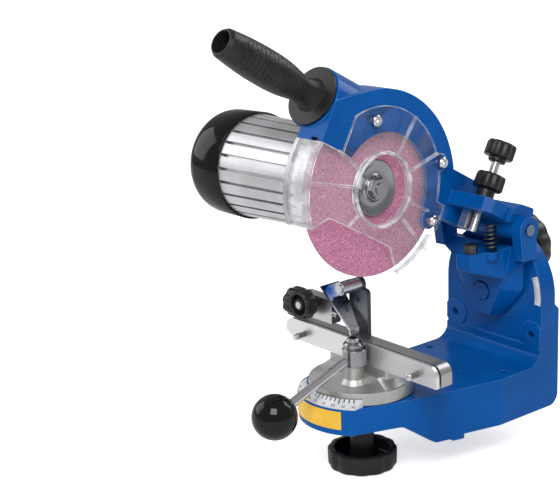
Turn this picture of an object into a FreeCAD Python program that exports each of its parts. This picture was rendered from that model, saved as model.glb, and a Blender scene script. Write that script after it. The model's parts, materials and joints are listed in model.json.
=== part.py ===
import FreeCAD, Part
import math
import os

# Bench-mounted chain grinder.  Millimetres, +Z up.  Everything is modelled about the swivel axis
# of the turntable (x = 0 is the wheel plane, -Y is the operator's side) and is moved at export so
# that the origin lies between the two bench bolts, on the face that rests on the bench.

os.makedirs("parts", exist_ok=True)
V = FreeCAD.Vector
X_AXIS = V(1, 0, 0)
Y_AXIS = V(0, 1, 0)
Z_AXIS = V(0, 0, 1)

# ---- clearances -------------------------------------------------------------------------------
run_gap = 0.05            # radial, a shaft in its bore
body_gap = 0.3            # between pieces that move past each other
hole_gap = 0.25           # radial, a screw in a plain hole

# ---- base casting -----------------------------------------------------------------------------
deck_top = 40.0           # height of the deck over the bench
deck_wall = 8.0
cast_wall = 6.0
boss_radius = 52.0        # round front that carries the turntable
boss_underside = 18.0
boss_left_angle = 165.0   # where the round front meets the left side
boss_fold_angle = -52.0   # where it folds into the straight right side
waist_x = 50.0            # right side beside the turntable
waist_y = 10.0
flare_y = 92.0            # where the sides reach the full width of the column
left_flare_y = 60.0
skirt_rise_y = 2.0        # the skirt slopes down from here to the lip
lip_front_y = 31.0
lip_depth = 2.0           # the lip reaches this far below the bench top
hook_front_y = 47.0
hook_back_y = 57.5        # this face butts against the front edge of the bench
hook_depth = 4.0
heel_radius = 10.0
hub_wall = 9.0            # round the swivel stud under the deck
base_rib = 4.0

column_x = 15.5           # middle of the column, right of the wheel plane
column_half = 54.0
column_front_y = 141.0
wall_face_y = 163.0       # rear face, fits flat on a wall
column_step = 5.0         # the upper column is this much thinner
column_step_z = 85.0
column_foot_radius = 15.0
tilt_axis_z = 97.0        # also the centre of the column's round top
tilt_bore_radius = 5.0
tilt_hub_wall = 11.0
tilt_range = 35.0         # degrees, motor end up
lock_radius = 29.5        # from the tilt axis to the lock stud
lock_stud_radius = 4.0
lock_pad_wall = 9.0

bench_y = 107.5           # bench bolts, behind the swivel axis
bench_spacing = 86.6
bench_hole_radius = 3.5
bench_pad_radius = 9.0
drain_hole_radius = 2.0
drain_hole_x = 33.0
drain_hole_y = 80.0
wall_spacing = 88.0
wall_hole_z = 64.5
wall_hole_radius = 3.5
wall_pad_radius = 12.0
pad_proud = 1.5           # the foot pad stands proud of the column's face
pad_top_z = 55.0

# ---- scales and plates ------------------------------------------------------------------------
plate_thick = 0.6
scale_inner = 45.2
scale_outer = 51.4
scale_half_angle = 52.0
name_plate_low = 20.0
name_plate_high = 37.0
name_plate_from = -157.0
name_plate_to = -108.0
tilt_scale_inner = 46.5
tilt_scale_outer = 53.0
tilt_scale_from = -6.0
tilt_scale_to = 22.0

# ---- turntable and vise -----------------------------------------------------------------------
disc_radius = 44.0
disc_top = 50.5
disc_draft = 1.2
dome_foot_radius = 41.0
dome_top_radius = 31.0
dome_top = 58.5
dome_front_y = -10.0
stud_radius = 5.0
stud_low = -24.0
washer_thick = 2.5
bed_half = 34.0
bed_front_y = -4.0
bed_back_y = 24.0
jaw_low = 63.5
jaw_high = 81.5
jaw_left_x = -88.0
jaw_right_x = 91.0
front_jaw = 3.0
rear_jaw = 12.0
jaw_slot = 2.2            # the chain's drive links hang in this slot
jaw_corner = 9.0
jaw_travel = 1.6
guide_x = 67.0            # guide screws stand this far from the middle of the jaws
guide_z = 70.5
guide_radius = 2.5
guide_proud = 9.0
cam_x = 7.0
cam_y = -14.5
cam_offset = 1.6          # the cam turns about the bolt this far off its middle
cam_radius = 10.0
cam_hub_radius = 8.2
cam_ring = 14.5
cam_low = 66.0
cam_high = 85.0
cam_post_radius = 8.0
cam_bolt_radius = 3.0
lever_radius = 4.0
lever_z = 73.0
lever_drop = 20.0         # degrees below level
lever_turn = -91.5        # heading of the lever, degrees from +X
lever_length = 72.0
ball_radius = 18.5
ball_reach = 88.0

# ---- chain stop -------------------------------------------------------------------------------
post_left_x = -27.0
post_width = 22.0
post_thick = 4.0
post_low = 63.5
post_high = 119.0
post_hole_radius = 2.2
stop_axis_x = -16.0
stop_axis_z = 122.5
stop_pin_radius = 2.5
knuckle_radius = 5.5
blade_top_x = -40.0
blade_top_z = 118.7
blade_tip_x = -12.0
blade_tip_z = 87.0
blade_lip_z = 82.1
blade_thick = 2.0
blade_front_y = -8.0
blade_back_y = 12.0
blade_tip_front_y = -2.0
blade_tip_back_y = 8.0
knuckle_front_y = -7.0
tongue_front_y = -1.0
tongue_back_y = 8.0
holder_left_x = -66.0
holder_right_x = -30.0
holder_front_y = -4.0
holder_back_y = 6.0
holder_low = 88.0
holder_high = 108.5
adjust_y = 1.0
adjust_z = 95.2
adjust_radius = 3.0
adjust_knob_x = -79.0
lock_knob_x = -53.0
lock_knob_z = 103.0
stop_knob_radius = 13.0
stop_knob_height = 11.0
stop_knob_cup = 6.0

# ---- lobed knobs ------------------------------------------------------------------------------
big_knob_radius = 28.8
big_knob_height = 16.0
big_knob_lobes = 8
big_knob_cup = 11.0
small_knob_lobes = 8
swivel_knob_top = -12.0
knob_neck_radius = 10.0
depth_knob_radius = 12.9
depth_knob_height = 13.0

# ---- tilting bracket --------------------------------------------------------------------------
bracket_front_y = 126.0
bracket_half = 50.5       # to the outer faces of its ears
bracket_foot_half = 10.0
bracket_low = 74.0
bracket_top = 138.0
bracket_ridge_z = 111.0
bracket_ridge_in = 7.0
bracket_rim = 4.0         # straight edge behind the bevelled sides
bracket_waist_half = 36.5
bracket_waist_z = 101.0
bracket_shoulder_half = 38.0
bracket_shoulder_z = 124.0
bracket_ear_z = 131.0     # the plate reaches its full width here
face_foot_half = 8.1      # flat front face, narrower than the plate behind it
face_foot_z = 78.0
face_half = 25.5          # at the ridge
rest_tilt = -2.66         # degrees, the motor end hangs this much
ear_thick = 10.0
ear_radius = 11.0
hinge_y = 132.4
hinge_z = 156.2
hinge_pin_radius = 4.8
nose_left_x = 20.0
nose_right_x = 35.8
nose_front_y = 92.0
nose_low = 124.0
nose_root_half = 15.5     # it widens to this at the bracket
nose_pad = 6.0            # seat of the return spring
stop_bolt_x = 30.0
stop_bolt_y = 100.0
stop_bolt_top = 145.5
return_spring_x = 39.6
return_spring_y = 114.0
return_spring_wire = 1.0
return_spring_radius = 4.2
return_spring_top = 162.5
return_spring_turns = 6

# ---- arm with wheel housing (wheel centre is the origin of this group) ---------------------------
arm_pitch = 30.6          # degrees, raised arm
wheel_reach = 122.0       # from the hinge to the wheel centre along the arm
wheel_drop = 15.1         # wheel centre below the hinge, square to the arm
housing_radius = 84.8
housing_wall = 3.0
housing_front_x = 9.0
housing_back_x = -20.0
housing_back_wall = 6.0
housing_flat_y = -75.0    # flat end of the drum that carries the handle
housing_low = 12.7
housing_mid_y = 2.7       # the round of the drum is set off from the wheel
housing_mid_z = -3.8
housing_flat_high = 46.7  # the flat end runs up to here
housing_shoulder_y = -46.2
housing_shoulder_z = 65.5
web_front_y = 54.8
web_crest_y = 109.7       # the upper edge falls to the hinge from here
web_foot = 9.0            # the lower edge ends this far ahead of the hinge
web_low = 2.4
web_high = 43.5
web_thick = 12.0
window_radius = 47.3      # opening in the front of the drum
window_y = 6.5
window_z = 0.8
motor_seat_radius = 36.0
motor_spigot_radius = 24.0
shelf_front_y = 79.5
shelf_low = 15.6
shelf_high = 27.3
shelf_right_x = 53.0
shelf_bevel = 6.0
barrel_radius = 9.5
hinge_roof_z = 35.6
roof_start = 16.0         # ahead of the hinge
roof_crest = 8.0
roof_crest_drop = 2.0
roof_behind = 9.0
handle_x = -17.0
handle_z = 46.8
handle_boss_radius = 25.5
handle_boss_length = 46.0

# ---- wheel, shaft and flanges -----------------------------------------------------------------
wheel_radius = 72.5
wheel_thick = 3.2
wheel_bore = 11.1
wheel_room = 4.0          # beside and around the wheel
spindle_radius = 5.0
spindle_tip_x = 11.5
inner_flange_radius = 22.0
inner_flange_thick = 6.0
outer_flange_radius = 23.0
outer_flange_thick = 4.0
nut_flats = 16.0
nut_thick = 5.0

# ---- motor ------------------------------------------------------------------------------------
motor_radius = 42.0      # at its front end
motor_draft = 2.5         # the rear end is this much larger
motor_bore = 36.5
shield_nose_radius = 34.0 # front of the end shield, against the arm
shield_taper = 13.0       # length of its taper
motor_front_x = -49.0
motor_rear_x = -144.0
fin_count = 24
fin_groove = 2.6
fin_depth = 4.0
shaft_radius = 7.5
bearing_radius = 16.0
bearing_width = 9.0
stator_length = 56.0
stator_bore = 21.0
rotor_radius = 20.3
winding_reach = 10.0
rear_shield_thick = 8.0
cap_proud = 2.0           # the cap stands over the rear end of the housing
cap_wall = 1.5
cap_lap = 2.0             # over the end of the housing
cap_end_x = -192.0
cap_dome = 28.0
fan_radius = 38.0
fan_blades = 8
fan_width = 12.0

# ---- switch box -------------------------------------------------------------------------------
box_left_x = -118.0
box_right_x = -62.0
box_half = 21.0
box_back_y = 76.0
box_wall = 2.5
rocker_width = 13.0
rocker_height = 20.0
rocker_depth = 6.0
rocker_tilt = 8.0
gland_radius = 8.5
gland_length = 16.0
capacitor_radius = 11.0

# ---- handle -----------------------------------------------------------------------------------
handle_rise = 1.7         # degrees, against the line of the arm
handle_length = 105.0
handle_flange_radius = 24.5
handle_flange = 4.0
handle_neck_radius = 11.3
handle_belly_radius = 15.0
handle_tip_radius = 12.2
handle_bore_radius = 9.2
handle_bore_depth = 14.0
handle_stud_radius = 4.0
handle_stud_length = 70.0
handle_stud_bite = 12.0    # into the arm

# ---- clear guard ------------------------------------------------------------------------------
guard_thick = 2.0
guard_wall = 2.0
guard_arc_radius = 66.8
guard_skirt_radius = 76.1
guard_shoulder_y = -51.1
guard_low = -38.9
guard_low_half = 36.4
guard_foot_y = 50.6
guard_foot_z = -54.0
guard_skirt_back_x = -16.5
guard_heel_back_x = 3.5
guard_lug_radius = 7.5
guard_rib = 1.8
guard_rib_proud = 1.8
collar_outer = 30.8
collar_inner = 28.6
collar_proud = 4.5
guard_screw_radius = 2.5
guard_mid_y = -4.6        # the feet are set off from the wheel
trim_width = 4.0          # edging behind the skirt
trim_wall = 4.5
guard_screws = [(-31.7, 46.8), (53.6, 42.5), (65.4, -4.2)]
guard_ribs = [168.0, 196.0, 82.0, 46.0, 2.0, -22.0, -118.0]

# ---- depth screw ------------------------------------------------------------------------------
depth_x = 30.0
depth_y = 96.3
depth_radius = 4.0
depth_low = -0.5
depth_lock_z = 36.9
depth_knob_z = 64.7

# worked-out positions
seat_y = column_front_y - body_gap
wall_step_y = wall_face_y - column_step
jaw_front_y = -jaw_slot / 2 - front_jaw
rear_jaw_y = jaw_slot / 2
rear_jaw_back_y = rear_jaw_y + rear_jaw
jaw_mid_x = (jaw_left_x + jaw_right_x) / 2
lock_z = tilt_axis_z + lock_radius
ear_left_x = column_x - bracket_half
ear_right_x = column_x + bracket_half
guard_x = housing_front_x
guard_front_x = guard_x + guard_thick
wheel_face_x = wheel_thick / 2
inner_flange_x = -wheel_face_x - inner_flange_thick
outer_flange_x = wheel_face_x + outer_flange_thick
spigot_x = housing_back_x + housing_back_wall
motor_rear_radius = motor_radius + motor_draft
cap_radius = motor_rear_radius + cap_proud


# ---- drawing helpers --------------------------------------------------------------------------
def point(plane, u, v, w):
    if plane == "xy":
        return V(u, v, w)
    if plane == "yz":
        return V(w, u, v)
    return V(u, w, v)


def outline(plane, corners, w):
    """Closed wire through corners (u, v, corner radius) on a plane at distance w."""
    stops = []
    for index, (u, v, radius) in enumerate(corners):
        here = V(u, v, 0)
        before = V(*corners[index - 1][:2], 0) - here
        after = V(*corners[(index + 1) % len(corners)][:2], 0) - here
        before.normalize()
        after.normalize()
        if radius == 0:
            stops.append((here, None, here))
            continue
        half = before.getAngle(after) / 2
        bisector = (before + after).normalize()
        reach = radius / math.tan(half)
        middle = here + bisector * (radius / math.sin(half) - radius)
        stops.append((here + before * reach, middle, here + after * reach))
    edges = []
    for index, (start, middle, end) in enumerate(stops):
        lift = [point(plane, p.x, p.y, w) for p in (start, middle, end) if p is not None]
        if middle is not None:
            edges.append(Part.Arc(*lift).toShape())
        following = stops[(index + 1) % len(stops)][0]
        if (following - end).Length > 1e-6:
            edges.append(Part.makeLine(lift[-1], point(plane, following.x, following.y, w)))
    return Part.Wire(edges)


def slab(plane, corners, low, high):
    """Solid between two parallel planes, with a rounded outline."""
    return Part.Face(outline(plane, corners, low)).extrude(point(plane, 0, 0, high - low))


def block(x0, x1, y0, y1, z0, z1):
    return Part.makeBox(x1 - x0, y1 - y0, z1 - z0, V(x0, y0, z0))


def rod(radius, start, axis, length):
    return Part.makeCylinder(radius, length, start, axis)


def tube(outer, inner, start, axis, length):
    return rod(outer, start, axis, length).cut(rod(inner, start, axis, length))


def turned(profile, start, axis):
    """Revolve (distance along the axis, radius) pairs round an axis."""
    points = [V(r, 0, z) for z, r in profile]
    wire = Part.makePolygon(points + [points[0]])
    shape = Part.Face(wire).revolve(V(0, 0, 0), Z_AXIS, 360)
    return stand(shape, start, axis)


def stand(shape, start, axis):
    """Place a shape drawn about +Z so that it stands on start along axis."""
    shape.Placement = FreeCAD.Placement(start, FreeCAD.Rotation(Z_AXIS, axis))
    return shape


def hexagon(flats, start, axis, length):
    corner = flats / math.sqrt(3)
    points = [V(corner * math.cos(k * math.pi / 3), corner * math.sin(k * math.pi / 3), 0)
              for k in range(7)]
    return stand(Part.Face(Part.makePolygon(points)).extrude(V(0, 0, length)), start, axis)


def coil(radius, wire, height, turns, start, axis):
    """Compression spring standing on start."""
    pitch = (height - 2 * wire) / turns
    path = Part.makeHelix(pitch, height - 2 * wire, radius)
    section = Part.Wire(Part.makeCircle(wire, V(radius, 0, 0), Y_AXIS))
    spring = Part.Wire(path).makePipeShell([section], True, True)
    return stand(spring, start + axis * wire, axis)


def lobed_knob(radius, height, lobes, bore, neck_radius, neck, cup, start, axis):
    """Knob with a scalloped grip.  The neck stands on start, the grip is above it.

    cup is the depth of the hollow: above zero in the outer face, below zero round the neck.
    """
    grip = rod(radius, V(0, 0, neck), Z_AXIS, height)
    grip = grip.makeChamfer(radius * 0.06, [e for e in grip.Edges if e.Closed])
    scallop = radius * 0.3
    middle = radius + scallop * 0.72
    for index in range(lobes):
        angle = 2 * math.pi * index / lobes
        grip = grip.cut(rod(scallop, V(middle * math.cos(angle), middle * math.sin(angle), neck),
                            Z_AXIS, height))
    if cup > 0:
        grip = grip.cut(tube(radius * 0.68, radius * 0.36, V(0, 0, neck + height - cup), Z_AXIS,
                             cup))
    if cup < 0:
        grip = grip.cut(rod(radius * 0.8, V(0, 0, neck), Z_AXIS, -cup))
    stem = turned([(0, 0), (0, neck_radius * 0.85), (neck, neck_radius), (neck + height / 2,
                   neck_radius * 1.1), (neck + height / 2, 0)], V(0, 0, 0), Z_AXIS)
    if cup > 0:
        stem = stem.common(rod(radius, V(0, 0, 0), Z_AXIS, neck + height - cup))
    body = grip.fuse(stem).cut(rod(bore, V(0, 0, 0), Z_AXIS, neck + height))
    return stand(body.removeSplitter(), start, axis)


def sector(inner, outer, start, turn_from, turn_to, thick):
    """Flat ring sector in the XY plane."""
    ring = Part.makeCylinder(outer, thick, start, Z_AXIS, turn_to - turn_from)
    ring = ring.cut(Part.makeCylinder(inner, thick, start, Z_AXIS, turn_to - turn_from))
    ring.rotate(start, Z_AXIS, turn_from)
    return ring


def on_head(shape):
    """Lean a shape drawn upright about the tilt axis, as the head rests."""
    shape = shape.copy()
    shape.rotate(V(column_x, 0, tilt_axis_z), Y_AXIS, rest_tilt)
    return shape


def on_arm(shape):
    """Carry a shape from the wheel centre's frame to its place on the raised arm."""
    shape = shape.copy()
    shape.translate(V(0, -wheel_reach, -wheel_drop))
    shape.rotate(V(0, 0, 0), X_AXIS, -arm_pitch)
    shape.translate(V(0, hinge_y, hinge_z))
    return on_head(shape)


def save(name, shape):
    """Write one node, moved to the origin between the bench bolts."""
    shape = shape.copy()
    shape.translate(V(-column_x, -bench_y, 0))
    for solid in shape.Solids:
        if not solid.isValid():
            print("not valid:", name)
    shape.exportStep("parts/" + name + ".step")


# ---- base -------------------------------------------------------------------------------------
def base_plan(inset, low, high):
    """The base seen from above, brought in by inset."""
    radius = boss_radius - inset
    left = math.radians(boss_left_angle)
    fold = math.radians(boss_fold_angle)
    turn_left = V(radius * math.cos(left), radius * math.sin(left), low)
    turn_fold = V(radius * math.cos(fold), radius * math.sin(fold), low)
    front = V(0, -radius, low)
    side = column_half - inset
    back = wall_face_y - inset
    trail = [turn_fold, V(waist_x - inset, waist_y, low), V(column_x + side, flare_y, low),
             V(column_x + side, back, low), V(column_x - side, back, low),
             V(column_x - side, left_flare_y, low), turn_left]
    edges = [Part.Arc(turn_left, front, turn_fold).toShape()]
    edges += [Part.makeLine(a, b) for a, b in zip(trail, trail[1:])]
    return Part.Face(Part.Wire(edges)).extrude(V(0, 0, high - low))


def tombstone(inset, y0, y1, low):
    """Column outline, round-topped about the tilt axis."""
    half = column_half - inset
    top = rod(half, V(column_x, y0, tilt_axis_z), Y_AXIS, y1 - y0)
    return top.fuse(block(column_x - half, column_x + half, y0, y1, low, tilt_axis_z))


def base_casting():
    wide = 2 * column_half + boss_radius
    side = slab("yz", [
        (-boss_radius - 1, boss_underside, 0),
        (skirt_rise_y, boss_underside, 12),
        (lip_front_y, -lip_depth, 5),
        (hook_front_y - 2, -lip_depth, 1),
        (hook_front_y, -hook_depth, 1),
        (hook_back_y, -hook_depth, 1),
        (hook_back_y, 0, 0),
        (wall_face_y, 0, heel_radius),
        (wall_face_y, column_step_z, 3),
        (wall_step_y, column_step_z + column_step, 3),
        (wall_step_y, tilt_axis_z + column_half + 1, 0),
        (column_front_y, tilt_axis_z + column_half + 1, 0),
        (column_front_y, deck_top, column_foot_radius),
        (-boss_radius - 1, deck_top, 0)], -wide, wide)
    low_part = base_plan(0, -hook_depth, deck_top + column_foot_radius)
    shape = low_part.fuse(tombstone(0, column_front_y, wall_face_y, 0)).common(side)
    shape = shape.cut(base_plan(cast_wall, -hook_depth - 1, deck_top - deck_wall))
    shape = shape.cut(tombstone(cast_wall, column_front_y + cast_wall, wall_face_y + 1, deck_top))
    shape = shape.fuse(rod(stud_radius + hub_wall, V(0, 0, boss_underside), Z_AXIS,
                           deck_top - boss_underside))
    for turn in (-1, 1):
        rib_x = turn * (stud_radius + hub_wall * 0.4)
        shape = shape.fuse(block(rib_x - base_rib / 2, rib_x + base_rib / 2, 0, hook_back_y,
                                 boss_underside, deck_top - deck_wall))
        bench_x = column_x + turn * bench_spacing / 2
        shape = shape.fuse(rod(bench_pad_radius, V(bench_x, bench_y, 0), Z_AXIS, deck_top))
        shape = shape.cut(rod(bench_hole_radius, V(bench_x, bench_y, -1), Z_AXIS, deck_top + 2))
        wall_x = column_x + turn * wall_spacing / 2
        pad = rod(wall_pad_radius, V(wall_x, column_front_y - pad_proud, wall_hole_z), Y_AXIS,
                  wall_face_y - column_front_y + pad_proud)
        shape = shape.fuse(pad.common(tombstone(0, 0, wall_face_y, 0)))
        shape = shape.cut(rod(wall_hole_radius, V(wall_x, column_front_y - pad_proud - 1,
                                                  wall_hole_z), Y_AXIS, wall_face_y))
    shape = shape.fuse(slab("xz", [
        (column_x - column_half, deck_top, 0),
        (column_x + column_half, deck_top, 0),
        (column_x + column_half, pad_top_z, 2),
        (column_x - column_half, pad_top_z, 2)], column_front_y - pad_proud, column_front_y))
    shape = shape.fuse(rod(tilt_bore_radius + tilt_hub_wall, V(column_x, column_front_y + 1,
                                                              tilt_axis_z), Y_AXIS,
                           wall_step_y - column_front_y - 1))
    pad_outer = lock_radius + lock_stud_radius + lock_pad_wall
    pad_inner = lock_radius - lock_stud_radius - lock_pad_wall
    lock_pad = tilt_arc(pad_inner, pad_outer, 14, wall_step_y - column_front_y - 1,
                        column_front_y + 1)
    shape = shape.fuse(lock_pad)
    slot_half = lock_stud_radius + body_gap
    slot = tilt_arc(lock_radius - slot_half, lock_radius + slot_half, 1.5,
                    wall_face_y - column_front_y + 2, column_front_y - 1)
    for turn in (rest_tilt, rest_tilt + tilt_range):
        slot = slot.fuse(rod(slot_half, lock_place(turn, column_front_y - 1), Y_AXIS,
                             wall_face_y - column_front_y + 2))
    shape = shape.cut(slot).cut(tilt_scale())
    shape = shape.cut(rod(tilt_bore_radius + run_gap, V(column_x, column_front_y - 1, tilt_axis_z),
                          Y_AXIS, wall_face_y))
    shape = shape.cut(rod(stud_radius + run_gap, V(0, 0, 0), Z_AXIS, deck_top + 1))
    shape = shape.cut(rod(drain_hole_radius, V(drain_hole_x, drain_hole_y, 0), Z_AXIS,
                          deck_top + 1))
    return shape.removeSplitter()


def lock_place(turn, y):
    """Where the lock stud stands when the head is tilted by turn degrees."""
    angle = math.radians(90 - turn)
    return V(column_x + lock_radius * math.cos(angle), y,
             tilt_axis_z + lock_radius * math.sin(angle))


def tilt_arc(inner, outer, spare, thick, y):
    """Ring sector about the tilt axis that covers the lock stud's path."""
    ring = sector(inner, outer, V(0, 0, 0), 90 - rest_tilt - tilt_range - spare,
                  90 - rest_tilt + spare, thick)
    ring.rotate(V(0, 0, 0), X_AXIS, 90)
    ring.translate(V(column_x, y + thick, tilt_axis_z))
    return ring


def angle_scale():
    return sector(scale_inner, scale_outer, V(0, 0, deck_top), -90 - scale_half_angle,
                  -90 + scale_half_angle, plate_thick)


def side_plate():
    plate = sector(boss_radius, boss_radius + plate_thick, V(0, 0, name_plate_low),
                   name_plate_from, name_plate_to, name_plate_high - name_plate_low)
    return plate


def tilt_scale():
    ring = sector(tilt_scale_inner, tilt_scale_outer, V(0, 0, 0), tilt_scale_from, tilt_scale_to,
                  plate_thick)
    ring.rotate(V(0, 0, 0), X_AXIS, 90)
    ring.translate(V(column_x, column_front_y + plate_thick, tilt_axis_z))
    return ring


# ---- turntable and vise -----------------------------------------------------------------------
def turntable():
    low = deck_top + plate_thick + body_gap
    disc = turned([(0, 0), (0, disc_radius), (disc_top - low, disc_radius - disc_draft),
                   (disc_top - low, 0)], V(0, 0, low), Z_AXIS)
    dome = turned([(0, 0), (0, dome_foot_radius), (dome_top - disc_top, dome_top_radius),
                   (dome_top - disc_top, 0)], V(0, 0, disc_top), Z_AXIS)
    dome = dome.cut(block(-disc_radius, disc_radius, -disc_radius, dome_front_y, disc_top,
                          dome_top + 1))
    bed = slab("xy", [(-bed_half, bed_front_y, 2), (bed_half, bed_front_y, 2),
                      (bed_half, bed_back_y, 6), (-bed_half, bed_back_y, 6)],
               disc_top, jaw_low)
    post = turned([(0, 0), (0, cam_post_radius + 3), (4, cam_post_radius),
                   (cam_low - body_gap - disc_top, cam_post_radius),
                   (cam_low - body_gap - disc_top, 0)], V(cam_x, cam_y, disc_top), Z_AXIS)
    shape = disc.fuse(dome).fuse(bed).fuse(post)
    shape = shape.cut(rod(cam_bolt_radius, V(cam_x, cam_y, deck_top), Z_AXIS, jaw_high))
    shape = shape.cut(rod(stud_radius, V(0, 0, low), Z_AXIS, disc_top - low - 1))
    return shape.removeSplitter()


def swivel_stud():
    return rod(stud_radius, V(0, 0, stud_low), Z_AXIS, disc_top - 1 - stud_low)


def swivel_washer():
    high = boss_underside - body_gap
    return tube(stud_radius + hub_wall, stud_radius + run_gap, V(0, 0, high - washer_thick),
                Z_AXIS, washer_thick)


def swivel_knob():
    neck_top = boss_underside - 2 * body_gap - washer_thick
    return lobed_knob(big_knob_radius, big_knob_height, big_knob_lobes, stud_radius + run_gap,
                      knob_neck_radius, neck_top - swivel_knob_top, -big_knob_cup,
                      V(0, 0, neck_top), V(0, 0, -1))


def jaw_outline(y0, y1):
    return slab("xz", [(jaw_left_x, jaw_low + 6, 3), (jaw_left_x + 13, jaw_low, 2),
                       (jaw_right_x, jaw_low, 1), (jaw_right_x, jaw_high, jaw_corner),
                       (jaw_left_x, jaw_high, jaw_corner)], y0, y1)


def guide_positions():
    return [jaw_mid_x - guide_x, jaw_mid_x + guide_x]


def rear_jaw_bar():
    shape = jaw_outline(rear_jaw_y, rear_jaw_back_y)
    for x in guide_positions():
        shape = shape.cut(rod(guide_radius, V(x, 0, guide_z), Y_AXIS, rear_jaw_back_y + 1))
    return shape


def front_jaw_plate():
    shape = jaw_outline(jaw_front_y, -jaw_slot / 2)
    for x in guide_positions():
        shape = shape.cut(rod(guide_radius + run_gap, V(x, jaw_front_y - 1, guide_z), Y_AXIS, 20))
    return shape


def guide_screws():
    group = []
    for x in guide_positions():
        start = jaw_front_y - jaw_travel - guide_proud
        length = rear_jaw_back_y - start
        head = rod(guide_radius * 1.5, V(x, start, guide_z), Y_AXIS, guide_proud - 2)
        nut = hexagon(9, V(x, rear_jaw_back_y, guide_z), Y_AXIS, 4)
        group.append(head.fuse(rod(guide_radius, V(x, start, guide_z), Y_AXIS, length)).fuse(nut))
    return Part.makeCompound(group)


def cam_hub():
    """Clamp cam: a ring off the bolt's middle, with the round hub for the lever above it."""
    height = cam_high - cam_low
    ring = turned([(0, 0), (0, cam_radius - 0.6), (0.6, cam_radius), (cam_ring - 0.6, cam_radius),
                   (cam_ring, cam_radius - 0.6), (cam_ring, 0)],
                  V(cam_x + cam_offset, cam_y, cam_low), Z_AXIS)
    hub = turned([(0, 0), (0, cam_hub_radius), (height - 1.5, cam_hub_radius),
                  (height, cam_hub_radius - 1.5), (height, 0)], V(cam_x, cam_y, cam_low), Z_AXIS)
    hub = hub.fuse(ring)
    hub = hub.cut(rod(cam_bolt_radius + run_gap, V(cam_x, cam_y, cam_low - 1), Z_AXIS, 40))
    return hub.cut(rod(lever_radius, V(cam_x, cam_y, lever_z), lever_heading(), 40))


def lever_heading():
    turn = math.radians(lever_turn)
    drop = math.radians(lever_drop)
    return V(math.cos(turn) * math.cos(drop), math.sin(turn) * math.cos(drop), -math.sin(drop))


def lever_rod():
    start = V(cam_x, cam_y, lever_z) + lever_heading() * (cam_radius * 0.55)
    return rod(lever_radius, start, lever_heading(), ball_reach - ball_radius * 0.4
               - cam_radius * 0.55)


def lever_ball():
    centre = V(cam_x, cam_y, lever_z) + lever_heading() * ball_reach
    ball = Part.makeSphere(ball_radius, centre)
    foot = centre - lever_heading() * ball_radius
    ball = ball.cut(rod(ball_radius, foot - lever_heading() * ball_radius, lever_heading(),
                        ball_radius + 1.5))
    return ball.cut(rod(lever_radius, foot, lever_heading(), ball_radius * 0.6))


def cam_bolt():
    shank = rod(cam_bolt_radius, V(cam_x, cam_y, disc_top), Z_AXIS, cam_high + body_gap - disc_top)
    head = turned([(0, 0), (0, 5.5), (2, 5.0), (3, 3.5), (3, 0)],
                  V(cam_x, cam_y, cam_high + body_gap), Z_AXIS)
    return shank.fuse(head)


# ---- chain stop -------------------------------------------------------------------------------
def stop_post():
    shape = slab("xz", [(post_left_x, post_low, 2), (post_left_x + post_width, post_low, 2),
                        (post_left_x + post_width, post_high, 4),
                        (post_left_x, post_high, 4)],
                 rear_jaw_back_y, rear_jaw_back_y + post_thick)
    ear = rod(knuckle_radius, V(stop_axis_x, rear_jaw_back_y, stop_axis_z), Y_AXIS, post_thick)
    ear = ear.fuse(block(stop_axis_x - knuckle_radius, stop_axis_x + knuckle_radius,
                         rear_jaw_back_y, rear_jaw_back_y + post_thick,
                         post_high - 4, stop_axis_z))
    shape = shape.fuse(ear)
    shape = shape.cut(rod(post_hole_radius, V(stop_axis_x, 0, post_high - 10), Y_AXIS, 40))
    shape = shape.cut(rod(stop_pin_radius, V(stop_axis_x, 0, stop_axis_z), Y_AXIS, 40))
    return shape.removeSplitter()


def stop_pin():
    start = knuckle_front_y - body_gap
    end = rear_jaw_back_y + post_thick + 1.5
    pin = rod(stop_pin_radius, V(stop_axis_x, start, stop_axis_z), Y_AXIS, end - start)
    head = rod(stop_pin_radius + 1.5, V(stop_axis_x, start - 1.5, stop_axis_z), Y_AXIS, 1.5)
    return pin.fuse(head)


def blade_run():
    """Unit vector down the blade, from its top edge to the bend at its tip."""
    return V(blade_tip_x - blade_top_x, 0, blade_tip_z - blade_top_z).normalize()


def stop_blade():
    """Sloping steel finger that drops into the chain, with a short lip bent down at its tip."""
    top = V(blade_top_x, 0, blade_top_z)
    tip = V(blade_tip_x, 0, blade_tip_z)
    run = blade_run()
    proud = V(-run.z, 0, run.x) * blade_thick
    strip = slab("xz", [(top.x, top.z, 0), (tip.x, tip.z, 0),
                        (tip.x, blade_lip_z, 0),
                        (tip.x + blade_thick, blade_lip_z, 0),
                        ((tip + proud).x + 0.6, (tip + proud).z - 0.8, 0),
                        ((top + proud).x, (top + proud).z, 0)], blade_front_y, blade_back_y + 1)
    shoulder = blade_top_z + (blade_tip_z - blade_top_z) * 0.36
    keep = slab("yz", [(blade_front_y, blade_top_z + 5, 0), (blade_tip_front_y, blade_tip_z, 0),
                       (blade_tip_front_y + 1, blade_lip_z - 1, 0),
                       (blade_tip_back_y, blade_lip_z - 1, 0),
                       (blade_tip_back_y, blade_tip_z + 2, 4),
                       (blade_back_y + 0.6, shoulder, 3),
                       (blade_back_y, blade_top_z + 5, 0)], blade_top_x - 5, blade_tip_x + 8)
    return strip.common(keep)


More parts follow.
